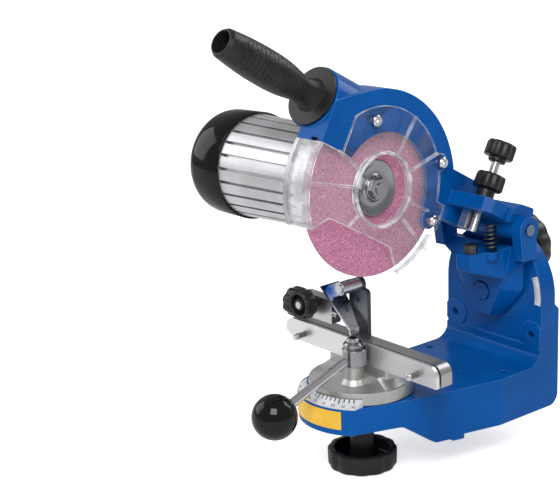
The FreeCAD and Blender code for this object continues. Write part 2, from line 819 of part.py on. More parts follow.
def stop_arm():
    """Hinge knuckle round the pin, with the tongue that carries the blade."""
    front = knuckle_front_y
    back = rear_jaw_back_y - body_gap
    knuckle = rod(knuckle_radius, V(stop_axis_x, front, stop_axis_z), Y_AXIS, back - front)
    run = blade_run()
    normal = V(-run.z, 0, run.x)
    low = V(blade_top_x, 0, blade_top_z) + normal * blade_thick + run * 1.5
    far = low + run * 11
    tongue = slab("xz", [(low.x, low.z, 0), (far.x, far.z, 0),
                         (stop_axis_x + 2, stop_axis_z - knuckle_radius + 1, 0),
                         (stop_axis_x, stop_axis_z + knuckle_radius, 0),
                         (stop_axis_x - 4, stop_axis_z + knuckle_radius - 1, 0)],
                  tongue_front_y, tongue_back_y)
    shape = knuckle.fuse(tongue)
    return shape.cut(rod(stop_pin_radius + run_gap, V(stop_axis_x, -40, stop_axis_z), Y_AXIS, 80))


def stop_holder():
    """Plated lug under the blade that carries the two stop screws."""
    shape = block(holder_left_x, holder_right_x, holder_front_y, holder_back_y, holder_low,
                  holder_high)
    run = blade_run()
    high = V(blade_top_x, 0, blade_top_z) - run * 40
    low = V(blade_tip_x, 0, blade_tip_z) + run * 40
    cutter = slab("xz", [(high.x, high.z, 0), (low.x, low.z, 0), (low.x + 60, high.z, 0)],
                  holder_front_y - 1, holder_back_y + 1)
    shape = shape.cut(cutter)
    shape = shape.cut(rod(adjust_radius + run_gap, V(holder_left_x - 1, adjust_y, adjust_z),
                          X_AXIS, 80))
    return shape.cut(rod(adjust_radius + run_gap, V(lock_knob_x, holder_front_y - 1, lock_knob_z),
                         Y_AXIS, 8))


def adjust_screw():
    start = adjust_knob_x - stop_knob_height / 2
    return rod(adjust_radius, V(start, adjust_y, adjust_z), X_AXIS, holder_right_x + 3 - start)


def adjust_knob():
    neck = holder_left_x - body_gap - adjust_knob_x - stop_knob_height / 2
    return lobed_knob(stop_knob_radius, stop_knob_height, small_knob_lobes, adjust_radius, 6.5,
                      neck, stop_knob_cup, V(holder_left_x - body_gap, adjust_y, adjust_z),
                      V(-1, 0, 0))


def stop_lock_screw():
    start = holder_front_y - body_gap - 5 - stop_knob_height
    return rod(adjust_radius, V(lock_knob_x, start, lock_knob_z), Y_AXIS,
               holder_front_y + 6 - start)


def stop_lock_knob():
    return lobed_knob(stop_knob_radius, stop_knob_height, small_knob_lobes, adjust_radius, 6.5, 5,
                      stop_knob_cup, V(lock_knob_x, holder_front_y - body_gap, lock_knob_z),
                      V(0, -1, 0))


# ---- tilting bracket --------------------------------------------------------------------------
def mirrored(corners):
    """Outline symmetrical about the column's middle, from (half width, z, corner radius)."""
    right = [(column_x + half, z, radius) for half, z, radius in corners]
    left = [(column_x - half, z, radius) for half, z, radius in reversed(corners)]
    return right + left


def bracket_face():
    """Bevelled body between the flat front face and the wider plate behind it."""
    share = (bracket_waist_z - face_foot_z) / (bracket_ridge_z - face_foot_z)
    face_waist_half = face_foot_half + (face_half - face_foot_half) * share
    front = outline("xz", mirrored([(face_foot_half, face_foot_z, 0),
                                    (face_waist_half, bracket_waist_z, 0),
                                    (face_half, bracket_ridge_z, 0)]), bracket_front_y)
    behind = outline("xz", mirrored([(bracket_foot_half, bracket_low, 0),
                                     (bracket_waist_half, bracket_waist_z, 0),
                                     (bracket_shoulder_half, bracket_shoulder_z, 0)]),
                     seat_y - bracket_rim)
    return Part.makeLoft([front, behind], True, True)


def tilt_bracket():
    left = ear_left_x
    right = ear_right_x
    plate = slab("xz", mirrored([(bracket_foot_half, bracket_low, 8),
                                 (bracket_waist_half, bracket_waist_z, 12),
                                 (bracket_shoulder_half, bracket_shoulder_z, 0),
                                 (bracket_half, bracket_ear_z, 0),
                                 (bracket_half, bracket_top, 0)]), bracket_front_y - 1, seat_y)
    rim = plate.common(block(left, right, seat_y - bracket_rim, seat_y, bracket_low - 1,
                             bracket_top))
    upper = slab("yz", [(bracket_front_y, bracket_ridge_z, 0), (seat_y, bracket_ridge_z, 0),
                        (seat_y, bracket_top, 0),
                        (bracket_front_y + bracket_ridge_in, bracket_top, 0)], left, right)
    upper = upper.common(slab("xz", mirrored([(face_half, bracket_ridge_z, 0),
                                              (bracket_shoulder_half, bracket_shoulder_z, 0),
                                              (bracket_half, bracket_ear_z, 0),
                                              (bracket_half, bracket_top, 0)]),
                              bracket_front_y, seat_y))
    shape = rim.fuse(bracket_face().common(plate)).fuse(upper)
    for x in (left, right - ear_thick):
        ear = slab("yz", [(bracket_front_y - 2, bracket_ear_z, 0), (seat_y, bracket_ear_z, 0),
                          (seat_y, hinge_z, 0), (hinge_y - ear_radius, hinge_z, 0)],
                   x, x + ear_thick)
        ear = ear.fuse(rod(ear_radius, V(x, hinge_y, hinge_z), X_AXIS, ear_thick))
        shape = shape.fuse(ear)
    nose_root_y = bracket_front_y + 2
    nose_middle = (nose_left_x + nose_right_x) / 2
    nose = slab("yz", [(nose_front_y, nose_low, 2), (nose_root_y, bracket_ridge_z, 0),
                       (seat_y, bracket_ridge_z, 0), (seat_y, bracket_top, 0),
                       (nose_front_y, bracket_top, 1.5)], left, right)
    nose = nose.common(slab("xy", [(nose_left_x, nose_front_y, 1.5),
                                   (nose_right_x, nose_front_y, 1.5),
                                   (nose_middle + nose_root_half, nose_root_y, 0),
                                   (nose_middle + nose_root_half, seat_y, 0),
                                   (nose_middle - nose_root_half, seat_y, 0),
                                   (nose_middle - nose_root_half, nose_root_y, 0)],
                            bracket_ridge_z - 1, bracket_top + 1))
    shape = shape.fuse(nose)
    seat_radius = return_spring_radius + return_spring_wire + 1
    shape = shape.fuse(rod(seat_radius, V(return_spring_x, return_spring_y,
                                          bracket_top - nose_pad), Z_AXIS, nose_pad))
    shape = shape.cut(rod(hinge_pin_radius + run_gap, V(left - 1, hinge_y, hinge_z), X_AXIS, 200))
    shape = shape.cut(rod(tilt_bore_radius, V(column_x, bracket_front_y - 1, tilt_axis_z),
                          Y_AXIS, 40))
    shape = shape.cut(rod(9, V(column_x, bracket_front_y - 1, tilt_axis_z), Y_AXIS, 7))
    shape = shape.cut(rod(lock_stud_radius, V(column_x, bracket_front_y + 4, lock_z), Y_AXIS, 40))
    shape = shape.cut(rod(3, V(stop_bolt_x, stop_bolt_y, nose_low - 20), Z_AXIS, 40))
    return shape.removeSplitter()


def tilt_pivot_bolt():
    """Bolt through the bracket and the column; its nut bears on the hub behind."""
    start = bracket_front_y
    end = wall_step_y + 8
    shank = rod(tilt_bore_radius, V(column_x, start + 1, tilt_axis_z), Y_AXIS, end - start - 1)
    head = hexagon(15, V(column_x, start - 1, tilt_axis_z), Y_AXIS, 7)
    nut = hexagon(17, V(column_x, wall_step_y + body_gap, tilt_axis_z), Y_AXIS, 6)
    return shank.fuse(head).fuse(nut)


def tilt_lock_stud():
    start = bracket_front_y + 5
    end = wall_step_y + 4 + 2 * body_gap + 24
    return rod(lock_stud_radius, V(column_x, start, lock_z), Y_AXIS, end - start)


def tilt_lock_washer():
    return tube(13, lock_stud_radius + run_gap, V(column_x, wall_step_y + body_gap, lock_z),
                Y_AXIS, 2)


def tilt_lock_knob():
    start = wall_step_y + 2 + 2 * body_gap
    return lobed_knob(big_knob_radius, big_knob_height, big_knob_lobes,
                      lock_stud_radius + run_gap, knob_neck_radius, 9, -big_knob_cup,
                      V(column_x, start, lock_z), Y_AXIS)


def hinge_pin():
    pin = rod(hinge_pin_radius, V(ear_left_x - 1.5, hinge_y, hinge_z), X_AXIS,
              2 * bracket_half + 3)
    return pin


def depth_stop_bolt():
    head = hexagon(10, V(stop_bolt_x, stop_bolt_y, stop_bolt_top - 5), Z_AXIS, 5)
    nut = hexagon(10, V(stop_bolt_x, stop_bolt_y, bracket_top), Z_AXIS, 3)
    shank = rod(3, V(stop_bolt_x, stop_bolt_y, nose_low + 1), Z_AXIS,
                stop_bolt_top - nose_low - 2)
    return shank.fuse(head).fuse(nut)


def return_spring():
    return coil(return_spring_radius, return_spring_wire,
                return_spring_top - bracket_top - 2 * body_gap, return_spring_turns,
                V(return_spring_x, return_spring_y, bracket_top + body_gap), Z_AXIS)


# ---- arm --------------------------------------------------------------------------------------
def drum_outline(inset):
    """Flat end of the drum with its sloping shoulder, brought in by inset."""
    flat = housing_flat_y + inset
    inner = housing_radius / 2
    return slab("yz", [(flat, housing_low, 0), (flat, housing_flat_high - inset / 2, 0),
                       (housing_shoulder_y + inset / 2, housing_shoulder_z - inset, 0),
                       (0, inner, 0), (0, housing_low, 0)], housing_back_x, housing_front_x)


def drum_round(inset):
    middle = V(housing_back_x, housing_mid_y, housing_mid_z)
    return rod(housing_radius - inset, middle, X_AXIS, housing_front_x - housing_back_x)


def arm_casting():
    depth = housing_front_x - housing_back_x
    corner = housing_radius + 10
    upper = slab("yz", [(housing_flat_y, housing_low, 0), (0, housing_low, 0), (0, web_low, 0),
                        (corner, web_low, 0), (corner, corner, 0), (housing_flat_y, corner, 0)],
                 housing_back_x, housing_front_x)
    drum = drum_round(0).common(upper).fuse(drum_outline(0))
    seat = rod(motor_seat_radius, V(housing_back_x, 0, 0), X_AXIS, housing_back_wall)
    boss = rod(handle_boss_radius, V(handle_x, housing_flat_y - 1, handle_z), Y_AXIS,
               handle_boss_length)
    clear = rod(motor_radius + 2, V(housing_back_x - 40, 0, 0), X_AXIS, 40)
    boss = boss.cut(clear)
    web = slab("yz", [(web_front_y, web_low, 0), (web_front_y, web_high, 0),
                      (web_crest_y, web_high, 10), (wheel_reach + roof_behind, hinge_roof_z, 4),
                      (wheel_reach + barrel_radius, wheel_drop, 0),
                      (wheel_reach - web_foot, web_low, 8)],
               housing_front_x - web_thick, housing_front_x)
    shelf_back_y = wheel_reach - barrel_radius / 2
    shelf = slab("xy", [(housing_front_x - 1, shelf_front_y, 0),
                        (shelf_right_x - shelf_bevel, shelf_front_y, 0),
                        (shelf_right_x, shelf_front_y + shelf_bevel, 0),
                        (shelf_right_x, shelf_back_y, 0),
                        (housing_front_x - 1, shelf_back_y, 0)], shelf_low, shelf_high)
    barrel_x = ear_left_x + ear_thick + body_gap
    barrel_length = 2 * (bracket_half - ear_thick - body_gap)
    barrel = rod(barrel_radius, V(barrel_x, wheel_reach, wheel_drop), X_AXIS, barrel_length)
    roof_front_y = wheel_reach - roof_start
    roof = slab("yz", [(roof_front_y, shelf_low, 0), (roof_front_y, shelf_high, 0),
                       (wheel_reach - roof_crest, hinge_roof_z - roof_crest_drop, 3),
                       (wheel_reach + roof_behind, hinge_roof_z, 3),
                       (wheel_reach + barrel_radius, wheel_drop, 0),
                       (wheel_reach, wheel_drop, 0)], barrel_x, barrel_x + barrel_length)
    shape = drum.fuse(seat).fuse(boss).fuse(web).fuse(shelf).fuse(barrel).fuse(roof)
    flat_in = housing_flat_y + housing_wall
    room = drum_round(housing_wall).fuse(drum_outline(housing_wall))
    room = room.common(block(spigot_x, housing_front_x - housing_wall, flat_in, corner, -corner,
                             corner))
    shape = shape.cut(room)
    lug_x = wheel_face_x + wheel_room
    for y, z in guard_screws:
        lug = rod(guard_lug_radius, V(lug_x, y, z), X_AXIS, housing_front_x - lug_x)
        if z < web_low:
            lug = lug.fuse(block(lug_x, housing_front_x, y - guard_lug_radius,
                                 y + guard_lug_radius, z, web_low + guard_lug_radius))
        shape = shape.fuse(lug)
    shape = shape.cut(rod(window_radius, V(spigot_x, window_y, window_z), X_AXIS, depth))
    for y, z in guard_screws:
        shape = shape.cut(rod(guard_screw_radius, V(wheel_face_x, y, z), X_AXIS, depth))
    shape = shape.cut(rod(motor_spigot_radius, V(housing_back_x - 1, 0, 0), X_AXIS,
                          housing_back_wall + 2))
    sweep = wheel_thick / 2 + wheel_room - 1
    shape = shape.cut(rod(wheel_radius + wheel_room, V(-sweep, 0, 0), X_AXIS, 2 * sweep))
    shape = shape.cut(rod(hinge_pin_radius + run_gap, V(-100, wheel_reach, wheel_drop), X_AXIS,
                          200))
    shape = shape.cut(rod(depth_radius + run_gap, V(depth_x, depth_y, 0), Z_AXIS, 60))
    shape = shape.cut(rod(handle_boss_radius + 2, handle_start(), handle_heading(), 5))
    back = handle_heading() * -1
    shape = shape.cut(rod(handle_stud_radius, handle_start() - back, back, handle_stud_bite + 1))
    return shape.removeSplitter()


def screw_guide():
    """Steel block under the shelf, beside the depth screw."""
    return block(depth_x - 13, depth_x - depth_radius - body_gap, depth_y - 6, depth_y + 6,
                 shelf_low - 15, shelf_low)


def depth_screw():
    return rod(depth_radius, V(depth_x, depth_y, depth_low), Z_AXIS,
               depth_knob_z + depth_knob_height * 0.4 - depth_low)


def depth_knob():
    return lobed_knob(depth_knob_radius, depth_knob_height, small_knob_lobes,
                      depth_radius + run_gap, 7.5, 4.0, 0,
                      V(depth_x, depth_y, depth_knob_z - 4.0), Z_AXIS)


def depth_lock_knob():
    neck = depth_lock_z - shelf_high - body_gap
    return lobed_knob(depth_knob_radius, depth_knob_height, small_knob_lobes,
                      depth_radius + run_gap, 7.5, neck, 0,
                      V(depth_x, depth_y, shelf_high + body_gap), Z_AXIS)


# ---- wheel and shaft --------------------------------------------------------------------------
def grinding_wheel():
    return tube(wheel_radius, wheel_bore, V(-wheel_face_x, 0, 0), X_AXIS, wheel_thick)


def inner_flange():
    shape = turned([(0, 0), (0, inner_flange_radius - 4), (inner_flange_thick - 2,
                                                           inner_flange_radius),
                    (inner_flange_thick, inner_flange_radius),
                    (inner_flange_thick, wheel_bore - run_gap),
                    (inner_flange_thick + wheel_thick - 0.6, wheel_bore - run_gap),
                    (inner_flange_thick + wheel_thick - 0.6, 0)],
                   V(inner_flange_x, 0, 0), X_AXIS)
    return shape.cut(rod(spindle_radius, V(inner_flange_x - 1, 0, 0), X_AXIS, 30))


def outer_flange():
    shape = turned([(0, 0), (0, outer_flange_radius), (1.6, outer_flange_radius),
                    (outer_flange_thick - 1, 11), (outer_flange_thick, 10),
                    (outer_flange_thick, 0)], V(wheel_face_x, 0, 0), X_AXIS)
    return shape.cut(rod(spindle_radius, V(0, 0, 0), X_AXIS, 30))


def flange_nut():
    shape = hexagon(nut_flats, V(outer_flange_x, 0, 0), X_AXIS, nut_thick)
    return shape.cut(rod(spindle_radius, V(outer_flange_x - 1, 0, 0), X_AXIS, nut_thick + 2))


def bearing_places():
    return [housing_back_x - 4 - bearing_width, motor_rear_x - bearing_width + 1]


def rotor_shaft():
    rear = cap_end_x + cap_wall + 6
    shoulder = inner_flange_x
    shape = rod(shaft_radius, V(rear, 0, 0), X_AXIS, shoulder - rear)
    shape = shape.fuse(rod(spindle_radius, V(shoulder, 0, 0), X_AXIS, spindle_tip_x - shoulder))
    return shape


def rotor_core():
    start = (motor_front_x + motor_rear_x - stator_length) / 2
    return tube(rotor_radius, shaft_radius, V(start, 0, 0), X_AXIS, stator_length)


def bearings():
    group = []
    for x in bearing_places():
        group.append(tube(bearing_radius, shaft_radius + run_gap, V(x, 0, 0), X_AXIS,
                          bearing_width))
    return Part.makeCompound(group)


def cooling_fan():
    start = motor_rear_x - rear_shield_thick - 6 - fan_width
    hub = tube(12, shaft_radius, V(start, 0, 0), X_AXIS, fan_width)
    disc = tube(fan_radius, 11, V(start + fan_width - 2, 0, 0), X_AXIS, 2)
    shape = hub.fuse(disc)
    for index in range(fan_blades):
        blade = block(start, start + fan_width, -1, 1, 11, fan_radius)
        blade.rotate(V(0, 0, 0), X_AXIS, 360.0 * index / fan_blades)
        shape = shape.fuse(blade)
    return shape


# ---- motor ------------------------------------------------------------------------------------
def motor_envelope():
    """Outside of the drafted motor housing, without its grooves."""
    return turned([(0, 0), (0, motor_rear_radius), (motor_front_x - motor_rear_x, motor_radius),
                   (motor_front_x - motor_rear_x, 0)], V(motor_rear_x, 0, 0), X_AXIS)


def motor_body():
    length = motor_front_x - motor_rear_x
    draft = math.degrees(math.atan((motor_rear_radius - motor_radius) / length))
    shape = motor_envelope().cut(rod(motor_bore, V(motor_rear_x - 1, 0, 0), X_AXIS, length + 2))
    floor = motor_radius - fin_depth
    for index in range(fin_count):
        groove = block(motor_rear_x - 2, motor_front_x + 1, -fin_groove / 2, fin_groove / 2,
                       floor, motor_rear_radius + 1)
        groove.rotate(V(motor_front_x, 0, floor), Y_AXIS, draft)
        groove.rotate(V(0, 0, 0), X_AXIS, 360.0 * (index + 0.5) / fin_count)
        shape = shape.cut(groove)
    return shape


def motor_end_shield():
    length = housing_back_x - motor_front_x
    shape = turned([(0, 0), (0, motor_radius), (length - shield_taper, motor_radius),
                    (length, shield_nose_radius), (length, 0)], V(motor_front_x, 0, 0), X_AXIS)
    shape = shape.fuse(rod(motor_spigot_radius, V(housing_back_x, 0, 0), X_AXIS,
                           housing_back_wall - 1))
    seat_x = bearing_places()[0]
    shape = shape.cut(rod(bearing_radius, V(seat_x, 0, 0), X_AXIS, bearing_width))
    shape = shape.cut(rod(motor_bore, V(motor_front_x - 1, 0, 0), X_AXIS, 12))
    shape = shape.cut(rod(shaft_radius + 1, V(motor_front_x - 1, 0, 0), X_AXIS, 60))
    return shape


def motor_rear_shield():
    start = motor_rear_x - rear_shield_thick
    shape = rod(cap_radius - cap_wall, V(start, 0, 0), X_AXIS, rear_shield_thick)
    seat_x = bearing_places()[1]
    shape = shape.fuse(rod(bearing_radius + 4, V(seat_x - 1, 0, 0), X_AXIS, motor_rear_x - seat_x))
    shape = shape.cut(rod(bearing_radius, V(seat_x, 0, 0), X_AXIS, bearing_width + 5))
    return shape.cut(rod(shaft_radius + 1, V(start - 8, 0, 0), X_AXIS, 40))


def cap_solid(inset, spare):
    """Domed end cap, brought in by inset."""
    radius = cap_radius - inset
    end = cap_end_x + inset
    curve = Part.BSplineCurve()
    knots = [(0.56, 0.0), (0.72, 0.1), (0.84, 0.3), (0.935, 0.62), (1.0, 1.0)]
    curve.interpolate([V(radius * across, 0, cap_dome * along) for across, along in knots])
    length = motor_rear_x + cap_lap + spare - end
    rim = V(radius, 0, length)
    edges = [Part.makeLine(V(0, 0, 0), V(radius * knots[0][0], 0, 0)),
             curve.toShape(),
             Part.makeLine(V(radius, 0, cap_dome), rim),
             Part.makeLine(rim, V(0, 0, length)),
             Part.makeLine(V(0, 0, length), V(0, 0, 0))]
    return stand(Part.Face(Part.Wire(edges)).revolve(V(0, 0, 0), Z_AXIS, 360), V(end, 0, 0), X_AXIS)


def motor_cap():
    return cap_solid(0, 0).cut(cap_solid(cap_wall, 1))


def stator_core():
    start = (motor_front_x + motor_rear_x - stator_length) / 2
    return tube(motor_bore, stator_bore, V(start, 0, 0), X_AXIS, stator_length)


def stator_windings():
    start = (motor_front_x + motor_rear_x - stator_length) / 2
    outer = motor_bore - 3
    inner = stator_bore + 2
    group = [tube(outer, inner, V(start - winding_reach, 0, 0), X_AXIS, winding_reach),
             tube(outer, inner, V(start + stator_length, 0, 0), X_AXIS, winding_reach)]
    return Part.makeCompound(group)


def switch_box():
    shape = slab("xy", [(box_left_x, motor_radius - 8, 0), (box_right_x, motor_radius - 8, 0),
                        (box_right_x, box_back_y, 6), (box_left_x, box_back_y, 6)],
                 -box_half, box_half)
    shape = shape.cut(motor_envelope())
    inner = block(box_left_x + 12, box_right_x - box_wall, motor_radius + box_wall,
                  box_back_y - box_wall, -box_half + box_wall, box_half - box_wall)
    shape = shape.cut(inner)
    middle = (motor_radius + box_back_y) / 2
    shape = shape.cut(block(box_left_x - 1, box_left_x + 13, middle - rocker_width / 2 - body_gap,
                            middle + rocker_width / 2 + body_gap, -rocker_height / 2 - body_gap,
                            rocker_height / 2 + body_gap))
    return shape


def rocker_switch():
    """Rocker in the end of the box, resting on its off side."""
    middle = (motor_radius + box_back_y) / 2
    pivot_x = box_left_x + 2
    shape = slab("xz", [(pivot_x - 4, -rocker_height / 2 + 1, 1), (pivot_x + 6, -5, 1),
                        (pivot_x + 6, 5, 1), (pivot_x - 4, rocker_height / 2 - 1, 1),
                        (pivot_x - 1.5, 0, 3)],
                 middle - rocker_width / 2, middle + rocker_width / 2)
    shape.rotate(V(pivot_x, middle, 0), Y_AXIS, rocker_tilt)
    return shape


def cable_gland():
    middle = (motor_radius + box_back_y) / 2
    x = (box_left_x + box_right_x) / 2
    start = V(x, middle, -box_half)
    shape = turned([(0, 0), (0, gland_radius), (4, gland_radius), (4, gland_radius - 1.5),
                    (gland_length - 3, gland_radius - 1.5), (gland_length, gland_radius - 4),
                    (gland_length, 0)], start, V(0, 0, -1))
    return shape.cut(rod(3.5, start + V(0, 0, 1), V(0, 0, -1), gland_length + 2))


def capacitor():
    middle = (motor_radius + box_back_y) / 2
    return rod(capacitor_radius, V(box_left_x + 14, middle, 0), X_AXIS,
               box_right_x - box_left_x - 14 - box_wall)


# ---- handle -----------------------------------------------------------------------------------
def handle_heading():
    rise = math.radians(handle_rise)
    return V(0, -math.cos(rise), math.sin(rise))


def handle_start():
    return V(handle_x, housing_flat_y, handle_z)


def handle_grip():
    length = handle_length
    side = [(handle_flange, handle_neck_radius + 3), (handle_flange + 10, handle_neck_radius),
            (length * 0.3, handle_neck_radius + 2), (length * 0.55, handle_belly_radius),
            (length * 0.8, handle_belly_radius - 1), (length - 3, handle_tip_radius)]
    curve = Part.BSplineCurve()
    curve.interpolate([V(r, 0, z) for z, r in side])
    tip = V(handle_tip_radius - 2, 0, length)
    edges = [Part.makeLine(V(0, 0, 0), V(handle_flange_radius - 1, 0, 0)),
             Part.makeLine(V(handle_flange_radius - 1, 0, 0), V(handle_flange_radius, 0, 1.5)),
             Part.makeLine(V(handle_flange_radius, 0, 1.5),
                           V(handle_flange_radius, 0, handle_flange - 1)),
             Part.makeLine(V(handle_flange_radius, 0, handle_flange - 1),
                           V(side[0][1], 0, side[0][0])),
             curve.toShape(),
             Part.makeLine(V(side[-1][1], 0, side[-1][0]), tip),
             Part.makeLine(tip, V(0, 0, length)),
             Part.makeLine(V(0, 0, length), V(0, 0, 0))]
    grip = Part.Face(Part.Wire(edges)).revolve(V(0, 0, 0), Z_AXIS, 360)
    grip = grip.cut(rod(handle_bore_radius, V(0, 0, length - handle_bore_depth), Z_AXIS,
                        handle_bore_depth + 1))
    grip = grip.cut(rod(handle_stud_radius, V(0, 0, -1), Z_AXIS, handle_stud_length + 1))
    return stand(grip, handle_start(), handle_heading())


def handle_stud():
    start = handle_start() - handle_heading() * handle_stud_bite
    return rod(handle_stud_radius, start, handle_heading(), handle_stud_length + handle_stud_bite)


# ---- clear guard ------------------------------------------------------------------------------
def guard_round(radius, x0, x1):
    """Disc or cylinder about the wheel's axis."""
    return rod(radius, V(x0, 0, 0), X_AXIS, x1 - x0)


def clear_guard():
    edge = guard_skirt_radius + 12
    shoulder_z = housing_low - body_gap
    left_foot = guard_mid_y - guard_foot_y
    right_foot = guard_mid_y + guard_foot_y
    lower = slab("yz", [(-edge, shoulder_z, 0), (-edge, guard_foot_z - 20, 0),
                        (left_foot, guard_foot_z, 0),
                        (guard_mid_y - guard_low_half, guard_low, 6),
                        (guard_mid_y + guard_low_half, guard_low, 6),
                        (right_foot, guard_foot_z, 0),
                        (edge, guard_foot_z - 20, 0), (edge, shoulder_z, 0)],
                 guard_x, guard_front_x)
    lower = lower.common(guard_round(guard_skirt_radius, guard_x, guard_front_x))
    upper = slab("yz", [(guard_shoulder_y, shoulder_z - 1, 0), (edge, shoulder_z - 1, 0),
                        (edge, edge, 0), (guard_shoulder_y, edge, 0)], guard_x, guard_front_x)
    upper = upper.common(rod(guard_arc_radius, V(guard_x, 0, 0), X_AXIS, guard_thick))
    shape = lower.fuse(upper)
    for y, z in guard_screws:
        shape = shape.fuse(rod(guard_lug_radius, V(guard_x, y, z), X_AXIS, guard_thick))
    inner = guard_skirt_radius - guard_wall
    skirt = guard_round(guard_skirt_radius, guard_skirt_back_x, guard_front_x)
    skirt = skirt.cut(guard_round(inner, guard_skirt_back_x, guard_front_x))
    skirt = skirt.common(slab("yz", [(-edge, shoulder_z, 0), (-edge, guard_foot_z - 4, 0),
                                     (left_foot, guard_foot_z, 0), (0, 0, 0),
                                     (left_foot, shoulder_z, 0)],
                              guard_skirt_back_x, guard_front_x))
    heel = guard_round(guard_skirt_radius, guard_heel_back_x, guard_front_x)
    heel = heel.cut(guard_round(inner, guard_heel_back_x, guard_front_x))
    heel = heel.common(slab("yz", [(right_foot, guard_foot_z, 0), (edge, guard_foot_z - 4, 0),
                                   (edge, -16, 0), (0, -10, 0)],
                            guard_heel_back_x, guard_front_x))
    lid_y = -math.sqrt(inner ** 2 - shoulder_z ** 2) - 1
    lid = block(guard_skirt_back_x, guard_front_x, lid_y, guard_shoulder_y,
                shoulder_z - guard_wall, shoulder_z)
    lid = lid.cut(rod(wheel_radius + guard_wall, V(guard_skirt_back_x, 0, 0), X_AXIS,
                      guard_x - guard_skirt_back_x))
    shape = shape.fuse(skirt).fuse(heel).fuse(lid)
    shape = shape.fuse(rod(collar_outer, V(guard_x, 0, 0), X_AXIS, guard_thick + collar_proud))
    rib_front = guard_front_x + guard_rib_proud
    outer_line = guard_round(guard_skirt_radius - 1, guard_front_x - 0.5, rib_front)
    for angle in guard_ribs:
        reach = guard_skirt_radius + 6
        if 40 < angle < 100:
            reach = guard_arc_radius
        if angle < -90:
            reach = 44
        if angle in (guard_ribs[0], guard_ribs[4]):
            reach = 58
        rib = block(guard_front_x - 0.5, rib_front, collar_outer - 2, reach,
                    -guard_rib / 2, guard_rib / 2)
        rib.rotate(V(0, 0, 0), X_AXIS, angle)
        if reach > guard_skirt_radius:
            rib = rib.common(outer_line)
        shape = shape.fuse(rib)
    shape = shape.cut(rod(collar_inner, V(guard_x - 1, 0, 0), X_AXIS, 40))
    for y, z in guard_screws:
        shape = shape.cut(rod(guard_screw_radius + hole_gap, V(guard_x - 1, y, z), X_AXIS, 20))
    return shape.removeSplitter()


def guard_trim():
    """Grey edging that closes the gap behind the skirt."""
    start = guard_skirt_back_x - trim_width
    left_foot = guard_mid_y - guard_foot_y
    edge = guard_skirt_radius + 12
    strip = guard_round(guard_skirt_radius, start, guard_skirt_back_x)
    strip = strip.cut(guard_round(guard_skirt_radius - trim_wall, start, guard_skirt_back_x))
    return strip.common(slab("yz", [(-edge, housing_low, 0), (-edge, guard_foot_z - 4, 0),
                                    (left_foot, guard_foot_z, 0), (0, 0, 0),
                                    (left_foot, housing_low, 0)], start, guard_skirt_back_x))


def guard_screw_set():
    group = []
    for y, z in guard_screws:
        head = turned([(0, 0), (0, 4.6), (4, 4.6), (5, 3.8), (5, 0)], V(guard_front_x, y, z), X_AXIS)
        shank = rod(guard_screw_radius, V(wheel_face_x + wheel_room + 0.5, y, z), X_AXIS,
                    guard_front_x - wheel_face_x - wheel_room - 0.5)
        screw = head.fuse(shank).cut(hexagon(4, V(guard_front_x + 2, y, z), X_AXIS, 5))
        group.append(screw)
    return Part.makeCompound(group)


# ---- all nodes --------------------------------------------------------------------------------
save("base_casting", base_casting())
save("angle_scale", angle_scale())
save("side_plate", side_plate())
save("tilt_scale", tilt_scale())
save("turntable", turntable())
save("swivel_stud", swivel_stud())
save("swivel_washer", swivel_washer())
save("swivel_knob", swivel_knob())
save("rear_jaw", rear_jaw_bar())
save("front_jaw", front_jaw_plate())
save("guide_screws", guide_screws())
save("cam_hub", cam_hub())
save("lever_rod", lever_rod())
save("lever_ball", lever_ball())
save("cam_bolt", cam_bolt())
save("stop_post", stop_post())
save("stop_pin", stop_pin())
save("stop_blade", stop_blade())
save("stop_arm", stop_arm())
save("stop_holder", stop_holder())
save("adjust_screw", adjust_screw())
save("adjust_knob", adjust_knob())
save("stop_lock_screw", stop_lock_screw())
save("stop_lock_knob", stop_lock_knob())
save("tilt_bracket", on_head(tilt_bracket()))
save("tilt_pivot_bolt", on_head(tilt_pivot_bolt()))
save("tilt_lock_stud", on_head(tilt_lock_stud()))
save("tilt_lock_washer", on_head(tilt_lock_washer()))
save("tilt_lock_knob", on_head(tilt_lock_knob()))
save("hinge_pin", on_head(hinge_pin()))
save("depth_stop_bolt", on_head(depth_stop_bolt()))
save("return_spring", on_head(return_spring()))
for name, shape in (
        ("arm_casting", arm_casting()),
        ("screw_guide", screw_guide()),
        ("depth_screw", depth_screw()),
        ("depth_knob", depth_knob()),
        ("depth_lock_knob", depth_lock_knob()),
        ("grinding_wheel", grinding_wheel()),
        ("inner_flange", inner_flange()),
        ("outer_flange", outer_flange()),
        ("flange_nut", flange_nut()),
        ("rotor_shaft", rotor_shaft()),
        ("rotor_core", rotor_core()),
        ("bearings", bearings()),
        ("cooling_fan", cooling_fan()),
        ("motor_body", motor_body()),
        ("motor_end_shield", motor_end_shield()),
        ("motor_rear_shield", motor_rear_shield()),
        ("motor_cap", motor_cap()),
        ("stator_core", stator_core()),
        ("stator_windings", stator_windings()),
        ("switch_box", switch_box()),
        ("rocker_switch", rocker_switch()),
        ("cable_gland", cable_gland()),
        ("capacitor", capacitor()),
        ("handle_grip", handle_grip()),
        ("handle_stud", handle_stud()),
        ("clear_guard", clear_guard()),
        ("guard_trim", guard_trim()),
        ("guard_screws", guard_screw_set())):
    save(name, on_arm(shape))
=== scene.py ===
import json
import math

import bmesh
import bpy
from bpy.props import FloatProperty, FloatVectorProperty, IntProperty, PointerProperty
from mathutils import Matrix, Vector


